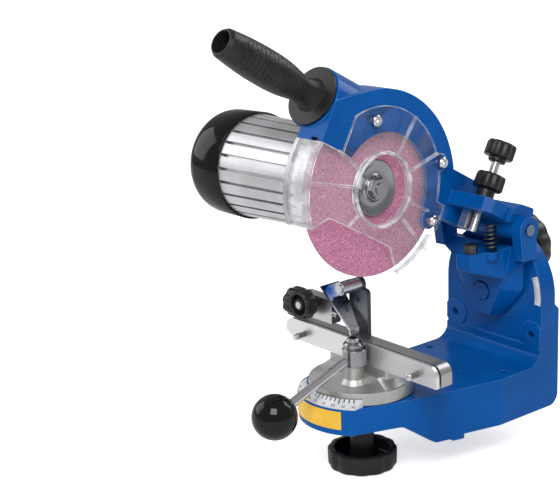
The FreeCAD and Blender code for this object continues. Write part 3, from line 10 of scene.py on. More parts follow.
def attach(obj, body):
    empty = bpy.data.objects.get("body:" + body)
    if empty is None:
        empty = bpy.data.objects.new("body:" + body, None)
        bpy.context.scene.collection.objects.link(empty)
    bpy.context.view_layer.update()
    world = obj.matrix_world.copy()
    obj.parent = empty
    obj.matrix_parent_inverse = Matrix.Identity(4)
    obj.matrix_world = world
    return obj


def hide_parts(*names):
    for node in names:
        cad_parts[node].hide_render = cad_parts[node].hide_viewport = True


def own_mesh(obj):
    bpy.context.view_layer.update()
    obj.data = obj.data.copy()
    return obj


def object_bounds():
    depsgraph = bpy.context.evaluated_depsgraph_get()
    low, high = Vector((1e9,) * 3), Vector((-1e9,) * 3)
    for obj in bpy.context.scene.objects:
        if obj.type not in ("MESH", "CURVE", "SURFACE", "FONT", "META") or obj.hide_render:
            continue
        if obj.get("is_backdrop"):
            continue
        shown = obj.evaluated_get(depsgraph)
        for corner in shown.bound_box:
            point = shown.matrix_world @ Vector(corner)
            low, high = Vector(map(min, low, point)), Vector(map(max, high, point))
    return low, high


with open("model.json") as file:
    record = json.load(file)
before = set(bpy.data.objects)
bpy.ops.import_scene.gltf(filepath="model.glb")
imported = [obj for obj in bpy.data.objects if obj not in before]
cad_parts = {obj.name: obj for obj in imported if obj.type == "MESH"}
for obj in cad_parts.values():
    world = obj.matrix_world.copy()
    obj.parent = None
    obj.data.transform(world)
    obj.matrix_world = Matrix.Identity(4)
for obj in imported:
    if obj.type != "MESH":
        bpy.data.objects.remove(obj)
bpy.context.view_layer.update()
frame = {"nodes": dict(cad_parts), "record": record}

bl_info = {
    "name": "Bench chain grinder",
    "version": (1, 0, 0),
    "blender": (4, 5, 0),
    "location": "View3D > Sidebar > Grinder",
    "description": "Dresses the packed model of a bench chain grinder",
    "category": "Object",
}

MM = 0.001
UP = Vector((0, 0, 1))
BENCH = Vector((-15.5, -107.5, 0)) * MM      # swivel axis of the turntable at bench level
TILT_AXIS = (15.5, 0, 97)                    # axis of the tilting head, in mm from BENCH

GRIP_ROW = 4.6 * MM                          # spacing of the scales along the grip
GRIP_COLUMNS = 2.2                           # scales per radian round it
GRIP_MIDDLE = 55.0 * MM                      # middle and half length of the scaled panel
GRIP_HALF = 42.0 * MM
GRIP_FOOT = (-17, -75, 46.8)                 # where the handle leaves the arm, in arm mm
GRIP_RISE = 1.7                              # degrees that it points up from the arm

GUARD_FACE = 9.0                             # back of the guard's front wall, in arm mm
GUARD_TUBE = 29.7                            # middle radius of the guard's collar
FLANGE_SEAT = 1.6                            # where the outer flange meets the wheel, in arm mm
FLANGE_RADIUS = 23.0
SHAFT_BORE = 5.2

CAP_RADIUS = 46.5
CAP_LENGTH = 49.4
CAP_WALL = 1.5
CAP_MOUTH = -142                             # open end of the motor cap along the shaft

DEPTH_AXIS = (30, 96.3)                      # depth screw across and along the arm
SCREW_FOOT, SCREW_LENGTH = -0.5, 70.0
SPRING_FOOT = (24.1, 114, 41.3)              # foot of the return spring, in head mm
SPRING_LENGTH = 23.9

LARGE_KNOB = dict(radius=28.8, height=16.0, hollow=-11.0, press=0.035, neck_radius=10.0)
STOP_KNOB = dict(radius=13.0, height=11.0, hollow=6.0, press=0.09, neck_radius=6.5, bore=3.0,
                 open_bore=True)
DEPTH_KNOB = dict(radius=12.9, height=13.0, hollow=0.0, press=0.085, neck_radius=7.5, bore=4.05)
SWIVEL_KNOB_FOOT = (0, 0, 14.9)              # where the necks of the knobs start, in mm
ADJUST_KNOB_FOOT = (-66.3, 1, 95.2)
STOP_LOCK_KNOB_FOOT = (-53, -4.3, 103)
DEPTH_KNOB_FOOT = 60.7                       # along the depth screw
DEPTH_LOCK_KNOB_FOOT = 27.6
TILT_KNOB_SEAT = 2.6                         # from the joint's place along its axis

GUIDE_ACROSS = (("left", -65.5), ("right", 68.5))
GUIDE_HEIGHT = 70.5
GUIDE_TIP_Y, GUIDE_THREAD_Y, GUIDE_NUT_Y = -14.7, -13.4, 13.1

SCALE_LEFT, SCALE_RIGHT = -142, -40          # ends of the angle scale, in degrees
SCALE_TOP = (44.6, 46.4)                     # radius and height of its upper edge
SCALE_FOOT = (51.7, 40.5)                    # and of its lower edge
SCALE_CUT = (-41, -49)                       # its right end is cut between these angles
ANGLE_LINES = dict(inner=44.6, outer=51.6, step=5.0, first=-8, last=8)
TILT_LINES = dict(inner=46.5, outer=53.0, step=2.0, first=-2, last=20)
FIGURE_SEAT = (0, -49.9, 42.1)               # middle figure of the angle scale
FIGURE_SLOPE = 40                            # degrees that the figures lean back
DECK = 40.02                                 # just above the round front of the deck
PLATE_LEFT, PLATE_RIGHT = -157, -61          # ends of the side plate, in degrees
PLATE_LOW, PLATE_HIGH = 22.8, 38.2
FRONT_RADIUS = 52.0                          # round front of the base
PLATE_THICK = 0.6
BLADE_FOOT = 82                              # lower end of the stop blade

CAMERA_PLACE = (0.99958, -1.04156, 0.57914)
CAMERA_RIGHT = (0.649505, 0.759763, -0.030038)
CAMERA_UP = (-0.203669, 0.211902, 0.955833)
SENSOR_WIDTH = 36.0
SPUN_WELD = 1e-6                             # metres within which points are merged
FINE_WELD = 1e-7
FLOOR_SIZE = 6.0
FLOOR_GAP = 0.5                              # mm that the floor lies under the part


# ---- shader expressions ------------------------------------------------------------------------
class Term:
    """An output socket.  Arithmetic on it adds the matching nodes."""

    def __init__(self, finish, socket):
        self.finish = finish
        self.socket = socket

    def sum(self, operation, a, b):
        return self.finish.node("ShaderNodeMath", {"operation": operation}, {0: a, 1: b})

    def __add__(self, other):
        return self.sum("ADD", self, other)

    def __radd__(self, other):
        return self.sum("ADD", other, self)

    def __sub__(self, other):
        return self.sum("SUBTRACT", self, other)

    def __rsub__(self, other):
        return self.sum("SUBTRACT", other, self)

    def __mul__(self, other):
        return self.sum("MULTIPLY", self, other)

    def __rmul__(self, other):
        return self.sum("MULTIPLY", other, self)

    def __truediv__(self, other):
        return self.sum("DIVIDE", self, other)

    def __rtruediv__(self, other):
        return self.sum("DIVIDE", other, self)

    def __pow__(self, other):
        return self.sum("POWER", self, other)

    def above(self, low, high):
        """0 below low, 1 above high, smooth between."""
        return self.finish.node("ShaderNodeMapRange", {"interpolation_type": "SMOOTHSTEP"},
                                {"Value": self, "From Min": low, "From Max": high})

    def wave(self):
        return self.sum("SINE", self, 0)

    def size(self):
        """The value without its sign."""
        return self.sum("ABSOLUTE", self, 0)

    def part(self):
        """What is left over above a whole number."""
        return self.sum("FRACT", self, 0)

    def whole(self):
        return self.sum("FLOOR", self, 0)

    def line(self, half):
        """1 within half of zero, soft outside it."""
        return 1 - self.size().above(half * 0.6, half * 1.4)

    def clamp(self):
        return self.sum("MINIMUM", self.sum("MAXIMUM", self, 0.0), 1.0)


class Finish:
    """A material whose nodes are written as expressions."""

    def __init__(self, name, **constants):
        self.material = bpy.data.materials.new(name)
        self.material.use_nodes = True
        self.tree = self.material.node_tree
        self.shader = self.tree.nodes["Principled BSDF"]
        self.place = self.node("ShaderNodeTexCoord", {}, {}, "Object")
        self.set(**constants)

    def node(self, kind, settings, values, output=0):
        """Add a node: its settings first, then the values or links of its sockets."""
        made = self.tree.nodes.new(kind)
        for key, value in settings.items():
            setattr(made, key, value)
        for key, value in values.items():
            self.feed(made.inputs[key], value)
        return Term(self, made.outputs[output])

    def feed(self, target, value):
        if isinstance(value, Term):
            self.tree.links.new(value.socket, target)
        elif isinstance(value, (tuple, list)) and len(value) == 3 and target.type == "RGBA":
            target.default_value = (*value, 1.0)
        else:
            target.default_value = value

    def set(self, **values):
        for key, value in values.items():
            self.feed(self.shader.inputs[key.replace("_", " ")], value)

    def noise(self, scale, detail=2.0):
        """Cloudy noise with scale features per metre."""
        return self.node("ShaderNodeTexNoise", {},
                         {"Vector": self.place, "Scale": scale, "Detail": detail})

    def cells(self, scale, output="Distance"):
        """Grains, scale of them per metre."""
        return self.node("ShaderNodeTexVoronoi", {}, {"Vector": self.place, "Scale": scale},
                         output)

    def tint(self, factor, a, b):
        """Colour a where factor is 0, colour b where it is 1."""
        return self.node("ShaderNodeMix", {"data_type": "RGBA"}, {0: factor, 6: a, 7: b}, 2)

    def bumps(self, height, distance, strength=1.0, normal=None):
        """Normal for a height of 0 to 1 that stands distance metres proud."""
        values = {"Height": height, "Distance": distance, "Strength": strength}
        if normal is not None:
            values["Normal"] = normal
        return self.node("ShaderNodeBump", {}, values)

    def soft_edges(self, radius):
        """Normal that rounds the edges of a casting or moulding."""
        return self.node("ShaderNodeBevel", {"samples": 6}, {"Radius": radius})

    def edges(self, radius, sharp=0.12):
        """1 along the edges of the piece, 0 on its faces."""
        flat = self.node("ShaderNodeNewGeometry", {}, {}, "True Normal")
        dot = self.node("ShaderNodeVectorMath", {"operation": "DOT_PRODUCT"},
                        {0: self.soft_edges(radius), 1: flat}, "Value")
        return (1 - dot).above(0.01, sharp)

    def axes(self, centre=(0, 0, 0), turn=(0, 0, 0)):
        """Separate X, Y, Z of the place, measured from centre and turned."""
        moved = self.node("ShaderNodeMapping", {"vector_type": "TEXTURE"},
                          {"Vector": self.place, "Location": tuple(centre), "Rotation": turn})
        return [self.node("ShaderNodeSeparateXYZ", {}, {0: moved}, axis) for axis in range(3)]


def rgb(*levels):
    """Display levels 0-255 to scene-linear."""
    return tuple(c / 255 / 12.92 if c <= 10 else ((c / 255 + 0.055) / 1.055) ** 2.4
                 for c in levels)


def blue_enamel(colour, gloss):
    """Sprayed enamel over a casting, with a painted highlight that lightens it along the edges."""
    paint = Finish("blue enamel", Roughness=gloss, Coat_Weight=0.3)
    paint.set(Coat_Roughness=0.08, Specular_IOR_Level=0.06, Coat_IOR=1.25)
    patch = paint.noise(22.0, 3.0)
    grain = paint.noise(900.0, 2.0)
    flow = paint.noise(140.0, 2.0)
    deep = tuple(c * 0.82 for c in colour)
    pale = (colour[0] + 0.09, colour[1] * 1.9 + 0.08, min(1.0, colour[2] * 1.5 + 0.12))
    body = paint.tint(patch.above(0.3, 0.7), deep, colour)
    # Painted highlight: along the edges the base colour is tinted towards pale, broken up by
    # noise.
    wear_and_edge_highlight = paint.edges(0.7 * MM) * (paint.noise(60.0, 3.0).above(0.3, 0.6) * 0.5 + 0.35)
    paint.set(Base_Color=paint.tint(wear_and_edge_highlight, body, pale),
              Roughness=(patch * 0.10) + (gloss - 0.05))
    edge = paint.soft_edges(1.1 * MM)
    paint.set(Normal=paint.bumps(flow * 0.85 + grain * 0.15, 0.00016, 0.6, edge))
    return paint.material


def cast_alloy(name, colour, roughness, turned=False):
    """Cast metal; turned adds the fine rings of a lathe about the swivel axis."""
    metal = Finish(name, Metallic=0.85, Roughness=roughness)
    patch = metal.noise(35.0, 4.0)
    grain = metal.noise(1400.0, 2.0)
    dull = tuple(c * 0.8 for c in colour)
    metal.set(Base_Color=metal.tint(patch.above(0.3, 0.7), dull, colour),
              Roughness=(patch * 0.16) + (roughness - 0.08))
    edge = metal.soft_edges(0.5 * MM)
    height = grain * 0.5
    if turned:
        x, y, z = metal.axes(BENCH)
        rings = ((x * x + y * y) ** 0.5 * 9000.0).wave()
        height = height + rings * 0.35
    metal.set(Normal=metal.bumps(height, 0.00008, 0.6, edge))
    return metal.material


def plated_steel(name, colour, roughness, edge=0.35, patchy=0.06):
    """Plated metal with faint clouding and a fine grain."""
    metal = Finish(name, Metallic=1.0, Roughness=roughness)
    patch = metal.noise(60.0, 3.0).above(0.3, 0.75)
    fine = metal.noise(900.0, 2.0)
    dull = tuple(c * (1 - patchy) for c in colour)
    metal.set(Base_Color=metal.tint(patch, dull, colour),
              Roughness=(patch * patchy) + (fine * 0.03) + (roughness - 0.03),
              Normal=metal.bumps(fine, 0.000012, 0.3, metal.soft_edges(edge * MM)))
    return metal.material


def faded_steel(name, place, low, high, foot, top, roughness):
    """Polished steel with a painted reflection: it shades from one colour at low to another at
    high, in mm over place.
    """
    metal = Finish(name, Metallic=1.0, Roughness=roughness)
    x, y, z = metal.axes(place)
    cloud = metal.noise(90.0, 3.0)
    share = (z + (cloud - 0.5) * 0.004).above(low * MM, high * MM)
    fine = metal.noise(900.0, 2.0)
    metal.set(Base_Color=metal.tint(share, foot, top), Roughness=(fine * 0.08) + roughness,
              Normal=metal.bumps(fine, 0.000012, 0.3, metal.soft_edges(0.4 * MM)))
    return metal.material


def moulded_black(name, level, roughness, grain_height, edge=0.6, shine=0.25):
    """Black moulding of brightness level, its grain grain_height metres high."""
    plastic = Finish(name, Roughness=roughness, Specular_IOR_Level=shine)
    grain = plastic.noise(1800.0, 2.0)
    patch = plastic.noise(40.0, 3.0)
    plastic.set(Base_Color=plastic.tint(patch.above(0.3, 0.7), (level * 0.8,) * 3, (level,) * 3),
                Roughness=(patch * 0.12) + (roughness - 0.06),
                Normal=plastic.bumps(grain, grain_height, 0.6, plastic.soft_edges(edge * MM)))
    return plastic.material


def grip_rubber(place, turn):
    """Black grip: a scale pattern on each side, framed by two fine ridges."""
    rubber = Finish("grip rubber", Roughness=0.38, Specular_IOR_Level=0.25)
    across, back, rise = rubber.axes(place, turn)
    along = back * -1
    angle = rubber.node("ShaderNodeMath", {"operation": "ARCTAN2"}, {0: rise, 1: across.size()})
    row = along / GRIP_ROW
    column = angle * GRIP_COLUMNS + (row.whole() * 0.5).part()
    bow = column.part() - 0.5
    scale = (row.part() - 0.28 - bow * bow * 1.7).line(0.09) * bow.line(0.42)
    reach = (along - GRIP_MIDDLE) / GRIP_HALF
    width = (1 - reach * reach).above(0.0, 0.6) * 0.95
    frame_line = angle.size() - width
    inside = 1 - (frame_line + 0.12).above(0.0, 0.05)
    ridges = (frame_line.line(0.035) + (frame_line - 0.13).line(0.035)) * width.above(0.02, 0.2)
    patch = rubber.noise(70.0, 3.0)
    grain = rubber.noise(1500.0, 2.0)
    cut = scale * inside
    shade = rubber.tint(patch.above(0.3, 0.7), (0.009,) * 3, (0.017,) * 3)
    # Painted shade: the recessed cut lines of the scales are darker in the base colour.
    rubber.set(Base_Color=rubber.tint(cut, shade, (0.003,) * 3),
               Roughness=(patch * 0.12) + 0.34 + cut * 0.3)
    height = ridges * 0.8 - cut + grain * 0.06
    rubber.set(Normal=rubber.bumps(height, 0.0007, 0.8, rubber.soft_edges(0.5 * MM)))
    return rubber.material


def bonded_grit(colour, grain_scale):
    """Pink abrasive: grains of three shades with pits between them."""
    stone = Finish("bonded grit", Roughness=0.85)
    grain = stone.cells(grain_scale)
    shade = stone.cells(grain_scale, "Color")
    level = stone.node("ShaderNodeSeparateColor", {}, {0: shade}, 0)
    patch = stone.noise(30.0, 3.0)
    pale = tuple(min(1.0, c * 1.45 + 0.03) for c in colour)
    dark = tuple(c * 0.62 for c in colour)
    speck = stone.tint(level.above(0.55, 1.0), colour, pale)
    speck = stone.tint((1 - level).above(0.72, 1.0), speck, dark)
    cloud = stone.tint(patch.above(0.3, 0.7), (0.88, 0.86, 0.87), (1.0, 1.0, 1.0))
    mixed = stone.node("ShaderNodeMix", {"data_type": "RGBA", "blend_type": "MULTIPLY"},
                       {0: 1.0, 6: speck, 7: cloud}, 2)
    stone.set(Base_Color=mixed, Normal=stone.bumps(grain, 0.0004, 0.7))
    return stone.material


def clear_plastic(cloud, centre, turn, front):
    """Clear moulding: nearly unseen face on, with a painted white highlight along its edges,
    frosted skirt and tube.
    """
    plastic = Finish("clear plastic", Roughness=0.12, IOR=1.49)
    x, y, z = plastic.axes(centre, turn)
    rim = plastic.edges(1.1 * MM)
    glint = plastic.noise(70.0, 2.0).above(0.42, 0.58)
    facing = plastic.node("ShaderNodeLayerWeight", {}, {"Blend": 0.25}, "Facing")
    haze = plastic.noise(25.0, 3.0)
    streak = plastic.noise(220.0, 2.0).above(0.45, 0.75)
    radius = (y * y + z * z) ** 0.5
    tube = (radius - GUARD_TUBE * MM).line(1.6 * MM)
    tube = tube * x.above(front + 1.9 * MM, front + 2.4 * MM)
    skirt = 1 - x.above(front - 0.6 * MM, front + 0.4 * MM)
    # Painted highlight: the edges and the faces at grazing angles are made whiter and more opaque.
    solid = rim * 0.85 + (facing ** 3.0) * 0.5 + haze * cloud + cloud
    solid = solid + skirt * (streak * 0.12 + 0.34) + tube * 0.35
    # Painted highlight: noise glints set how white the edges are; the frosted tube and skirt vary
    # with them too.
    bright = plastic.tint(glint, (0.42, 0.44, 0.48), (0.98, 0.98, 1.0))
    plastic.set(Base_Color=plastic.tint((rim + tube + skirt * 0.5).clamp(), (0.55, 0.57, 0.60),
                                        bright),
                Alpha=solid.clamp(), Roughness=(haze * 0.1) + 0.05,
                Normal=plastic.soft_edges(0.4 * MM))
    return plastic.material


def printed(name, colour, roughness):
    """Plain print or foil, slightly uneven in colour and gloss."""
    paint = Finish(name, Roughness=roughness)
    patch = paint.noise(90.0, 3.0)
    fine = paint.noise(1200.0, 2.0)
    wear_and_edge_highlight = tuple(c * 0.9 for c in colour)
    paint.set(Base_Color=paint.tint(patch.above(0.4, 0.7), wear_and_edge_highlight, colour),
              Roughness=(patch * 0.15) + (roughness - 0.07),
              Normal=paint.bumps(fine, 0.00002, 0.3))
    return paint.material


def scale_plate(place, turn, inner, outer, step, first, last):
    """White plate printed with radial lines, step degrees apart and every fifth one longer.

    inner and outer are its radii in millimetres, first and last its end lines.
    """
    paint = Finish("scale plate", Roughness=0.35)
    x, y, z = paint.axes(place, turn)
    radius = (x * x + y * y) ** 0.5
    angle = paint.node("ShaderNodeMath", {"operation": "ARCTAN2"}, {0: y, 1: x})
    turns = angle / math.radians(step)
    near = (turns + 0.5).part() - 0.5
    fifth = ((turns / 5 + 0.5).part() - 0.5).line(0.09)
    tick = near.line(0.13)
    depth = (outer - inner) * MM
    short = 1 - (radius - inner * MM).above(depth * 0.34, depth * 0.38)
    long_one = 1 - (radius - inner * MM).above(depth * 0.5, depth * 0.54)
    within = turns.above(first - 0.4, first - 0.3) * (1 - turns.above(last + 0.3, last + 0.4))
    ink = tick * within * (short + fifth * (long_one - short)).clamp()
    patch = paint.noise(90.0, 3.0)
    white = paint.tint(patch.above(0.4, 0.7), rgb(196, 198, 202), rgb(214, 216, 220))
    paint.set(Base_Color=paint.tint(ink, white, (0.008, 0.008, 0.009)),
              Roughness=(patch * 0.15) + 0.28,
              Normal=paint.bumps(patch, 0.00002, 0.3))
    return paint.material


def windings_copper():
    """Varnished wire laid side by side along the motor."""
    wire = Finish("varnished copper", Metallic=0.8, Roughness=0.35)
    x, y, z = wire.axes()
    strand = (x * 6000.0).wave()
    # Painted shade and highlight: the wires are dark in the grooves between them and light along
    # their crowns.
    wire.set(Base_Color=wire.tint(strand.above(-0.6, 0.6), (0.20, 0.06, 0.02),
                                  (0.55, 0.22, 0.09)),
             Normal=wire.bumps(strand, 0.0002, 0.8))
    return wire.material


# ---- mesh helpers ------------------------------------------------------------------------------
def piece_of(name, mesh, body, material, smooth=35.0, bevel=0.0, turn_out=True):
    """Turn a bmesh into a shown piece that rides on body."""
    if turn_out:
        bmesh.ops.recalc_face_normals(mesh, faces=mesh.faces)
    data = bpy.data.meshes.new(name)
    mesh.to_mesh(data)
    mesh.free()
    data.materials.append(material)
    piece = bpy.data.objects.new(name, data)
    bpy.context.scene.collection.objects.link(piece)
    for face in data.polygons:
        face.use_smooth = True
    if bevel:
        rounding = piece.modifiers.new("rounding", "BEVEL")
        rounding.width = bevel * MM
        rounding.segments = 3
        rounding.limit_method = "ANGLE"
        rounding.angle_limit = math.radians(28)
        rounding.harden_normals = True
    data.set_sharp_from_angle(angle=math.radians(smooth))
    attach(piece, body)
    return piece


def joint(name):
    """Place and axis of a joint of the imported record."""
    for entry in frame["record"]["behaviour"]["joints"]:
        if entry["name"] == name:
            return Vector(entry["pos_m"]), Vector(entry["axis"]).normalized()
    raise RuntimeError("no joint " + name)


def stand_on(start, axis, beside=None):
    """Frame that stands on start with its +Z along axis."""
    beside = beside or (Vector((0, 0, 1)) if abs(axis.z) < 0.9 else Vector((1, 0, 0)))
    second = axis.cross(beside).normalized()
    first = second.cross(axis)
    return Matrix.Translation(start) @ Matrix((first, second, axis)).transposed().to_4x4()


def at(x, y, z):
    """Place measured in millimetres from the turntable's axis."""
    return BENCH + Vector((x, y, z)) * MM


def arm_frame():
    """The raised arm: +X along the shaft, +Y to the hinge, +Z square to both."""
    centre, along = joint("wheel_spin")
    return stand_on(centre, joint("depth_locker_turn")[1], along)


def everything(mesh):
    """All faces, edges and points of a bmesh."""
    return list(mesh.faces) + list(mesh.edges) + list(mesh.verts)


def edges_of(made):
    """The edges among what an operator made."""
    return [part for part in made if isinstance(part, bmesh.types.BMEdge)]


def on_arm(x, y, z):
    """Place measured in millimetres from the middle of the wheel, in the arm's directions."""
    return arm_frame() @ (Vector((x, y, z)) * MM)


def lathe(profile, steps=72, ring=False):
    """Spin (height, radius) pairs, in millimetres, about +Z."""
    mesh = bmesh.new()
    points = [mesh.verts.new((radius * MM, 0, height * MM)) for height, radius in profile]
    pairs = list(zip(points, points[1:]))
    if ring:
        pairs.append((points[-1], points[0]))
    edges = [mesh.edges.new(pair) for pair in pairs]
    bmesh.ops.spin(mesh, geom=points + edges, cent=(0, 0, 0), axis=(0, 0, 1),
                   angle=2 * math.pi, steps=steps, use_merge=True)
    bmesh.ops.remove_doubles(mesh, verts=mesh.verts, dist=SPUN_WELD)
    return mesh


def scallop(mesh, radius, lobes, depth):
    """Press round hollows into the rim of a knob."""
    rim, blend = 0.72, 0.14
    for vertex in mesh.verts:
        out = vertex.co.xy.length / (radius * MM)
        if out > rim:
            angle = math.atan2(vertex.co.y, vertex.co.x)
            press = ((1 + math.cos(lobes * angle)) / 2) ** 1.5
            vertex.co.xy *= 1 - depth * press * min(1.0, (out - rim) / blend)


def knob(radius, neck, height, hollow, lobes, press, bore, neck_radius, open_bore=False):
    """Moulded knob standing on its neck, in millimetres.

    hollow is the depth of its cup: below zero round the neck, above zero in its face.
    """
    top = neck + height
    wall = radius * 0.80
    sides = [(0, bore), (0, neck_radius - 0.9), (0.9, neck_radius), (neck - 0.7, neck_radius)]
    if hollow < 0:
        sides += [(neck - hollow, neck_radius + 1.6), (neck - hollow, wall - 1.0),
                  (neck - hollow - 1.0, wall), (neck + 0.7, wall + 0.3), (neck, wall + 1.1)]
    else:
        sides += [(neck, neck_radius + 0.8), (neck, wall)]
    sides += [(neck, radius - 1.4), (neck + 0.5, radius - 0.4), (neck + 1.6, radius),
              (top - 2.0, radius * 0.985), (top - 0.6, radius * 0.955), (top, radius * 0.9)]
    if hollow > 0:
        sides += [(top, radius * 0.72), (top - 0.5, radius * 0.685), (top - hollow, radius * 0.66),
                  (top - hollow, radius * 0.40), (top - 0.7, radius * 0.38),
                  (top - 0.2, radius * 0.35)]
    if open_bore:
        mesh = lathe(sides + [(top - 0.2, bore)], 12 * lobes, ring=True)
    else:
        mesh = lathe([(top - 3, 0), (top - 3, bore)] + sides + [(top, radius * 0.3), (top, 0)],
                     12 * lobes)
    scallop(mesh, radius, lobes, press)
    return mesh


def cap_shell(radius, length, corner, wall):
    """Round cap open at the XY plane, with a soft corner and a slightly domed end."""
    middle, start = radius - 0.8 - corner, length - 1.6 - corner
    turns = [math.radians(7.5 * step) for step in range(13)]

    def skin(inset):
        bend = corner - inset
        side = [(start + bend * math.sin(turn), middle + bend * math.cos(turn)) for turn in turns]
        return side + [(length - inset - 0.5, radius * 0.35), (length - inset, 0)]

    inner = [(0.0, radius - wall)] + skin(wall)
    outer = [(0.0, radius - 0.5), (0.5, radius)] + skin(0)
    return lathe(inner[::-1] + outer, 96)


def threaded_rod(radius, length, pitch):
    """Rod along +Z with a rolled thread from end to end."""
    chamfer = 0.6
    groove = radius - pitch * 0.5
    sides = [(0, 0), (0, radius - chamfer)]
    height = 0.0
    while height + pitch < length:
        sides += [(height + pitch * 0.12, groove), (height + pitch * 0.25, groove),
                  (height + pitch * 0.62, radius), (height + pitch * 0.75, radius)]
        height += pitch
    return lathe(sides + [(length, radius - chamfer), (length, 0)], 32)


def spring_coil(radius, wire, length, turns, steps=20):
    """Coil of round wire standing on the XY plane, in millimetres."""
    mesh = bmesh.new()
    bmesh.ops.create_circle(mesh, cap_ends=True, segments=10, radius=wire * MM)
    bmesh.ops.rotate(mesh, cent=(0, 0, 0), matrix=Matrix.Rotation(math.radians(90), 3, "X"),
                     verts=mesh.verts)
    bmesh.ops.translate(mesh, vec=(radius * MM, 0, wire * MM), verts=mesh.verts)
    far_end = bmesh.ops.duplicate(mesh, geom=everything(mesh))["geom"]
    rise = (length - 2 * wire) * MM / (turns * steps)
    bmesh.ops.spin(mesh, geom=far_end, cent=(0, 0, 0), axis=(0, 0, 1), dvec=(0, 0, rise),
                   angle=2 * math.pi * turns, steps=turns * steps)
    bmesh.ops.remove_doubles(mesh, verts=mesh.verts, dist=FINE_WELD)
    return mesh


def sector(sides, turn_from, turn_to, steps=60):
    """Swing a closed (radius, height) outline about +Z, in millimetres and degrees."""
    mesh = bmesh.new()
    points = [mesh.verts.new((radius * MM, 0, height * MM)) for radius, height in sides]
    edges = [mesh.edges.new(pair) for pair in zip(points, points[1:] + points[:1])]
    bmesh.ops.contextual_create(mesh, geom=edges)
    bmesh.ops.rotate(mesh, cent=(0, 0, 0), matrix=Matrix.Rotation(math.radians(turn_from), 3, "Z"),
                     verts=mesh.verts)
    far_end = bmesh.ops.duplicate(mesh, geom=everything(mesh))["geom"]
    bmesh.ops.spin(mesh, geom=far_end, cent=(0, 0, 0), axis=(0, 0, 1),
                   angle=math.radians(turn_to - turn_from), steps=steps)
    bmesh.ops.remove_doubles(mesh, verts=mesh.verts, dist=FINE_WELD)
    return mesh


def flat_text(words, height, thick):
    """Raised lettering on the XY plane, centred, as a bmesh."""
    curve = bpy.data.curves.new("lettering", "FONT")
    curve.body = words
    curve.size = height * MM
    curve.extrude = thick * MM / 2
    curve.align_x = "CENTER"
    curve.align_y = "CENTER"
    holder = bpy.data.objects.new("lettering", curve)
    mesh = bmesh.new()
    data = bpy.data.meshes.new_from_object(holder)
    mesh.from_mesh(data)
    bmesh.ops.remove_doubles(mesh, verts=mesh.verts, dist=FINE_WELD)
    bpy.data.objects.remove(holder)
    bpy.data.curves.remove(curve)
    bpy.data.meshes.remove(data)
    return mesh


def place(mesh, matrix):
    """Move a bmesh to its place."""
    bmesh.ops.transform(mesh, matrix=matrix, verts=mesh.verts)
    return mesh


def dress(node, material):
    """Give a CAD node its finish."""
    thing = frame["nodes"][node]
    thing.data.materials.clear()
    thing.data.materials.append(material)


# ---- settings ----------------------------------------------------------------------------------
class GRINDER_PG_finishes(bpy.types.PropertyGroup):
    enamel: FloatVectorProperty(
        name="Enamel", description="Colour of the painted castings", subtype="COLOR",
        size=3, min=0.0, max=1.0, default=rgb(0, 82, 158))
    enamel_gloss: FloatProperty(
        name="Enamel roughness", description="Roughness of the enamel", default=0.3,
        min=0.0, max=1.0, subtype="FACTOR")
    grit: FloatVectorProperty(
        name="Grit", description="Colour of the grinding wheel", subtype="COLOR",
        size=3, min=0.0, max=1.0, default=rgb(186, 120, 150))
    grit_scale: FloatProperty(
        name="Grain count", description="Abrasive grains per metre", default=1100.0, min=100.0)
    cloud: FloatProperty(
        name="Guard haze", description="How much the clear guard shows face on", default=0.02,
        min=0.0, max=1.0, subtype="FACTOR")


class GRINDER_PG_fittings(bpy.types.PropertyGroup):
    plate: FloatVectorProperty(
        name="Side plate", description="Colour of the plain side plate", subtype="COLOR",
        size=3, min=0.0, max=1.0, default=rgb(240, 190, 50))
    figure_height: FloatProperty(
        name="Figures", description="Height of the figures on the angle scale",
        default=3.2 * MM, min=MM, unit="LENGTH")
    cap_corner: FloatProperty(
        name="Cap corner", description="Corner radius of the motor cap", default=17.0 * MM,
        min=4 * MM, max=30 * MM, unit="LENGTH")
    large_lobes: IntProperty(
        name="Large knob lobes", description="Lobes of the two large knobs", default=12, min=3)
    small_lobes: IntProperty(
        name="Small knob lobes", description="Lobes of the four small knobs", default=8, min=3)


class GRINDER_PG_stage(bpy.types.PropertyGroup):
    lens: FloatProperty(
        name="Lens", description="Focal length of the camera in millimetres", default=115.7,
        unit="CAMERA")
    world: FloatProperty(
        name="Room light", description="Strength of the even light round the part", default=0.33)
    mirrored: FloatProperty(
        name="Mirrored room", description="How much brighter the room looks in gloss and metal",
        default=0.1, min=0.0, max=1.0, subtype="FACTOR")
    floor_glow: FloatProperty(
        name="Floor glow", description="How far the floor fades to white for the camera",
        default=0.62, min=0.0, max=1.0, subtype="FACTOR")
    key: FloatProperty(
        name="Key light", description="Power of the main lamp", default=30.0, unit="POWER")


# ---- operators ---------------------------------------------------------------------------------
class GRINDER_OT_castings(bpy.types.Operator):
    """Paint the base, bracket and arm"""
    bl_idname = "grinder.castings"
    bl_label = "Painted castings"

    def execute(self, context):
        want = context.scene.grinder_finishes
        paint = blue_enamel(tuple(want.enamel), want.enamel_gloss)
        for node in ("base_casting", "tilt_bracket", "arm_casting", "tilt_pivot_bolt"):
            dress(node, paint)
        return {"FINISHED"}


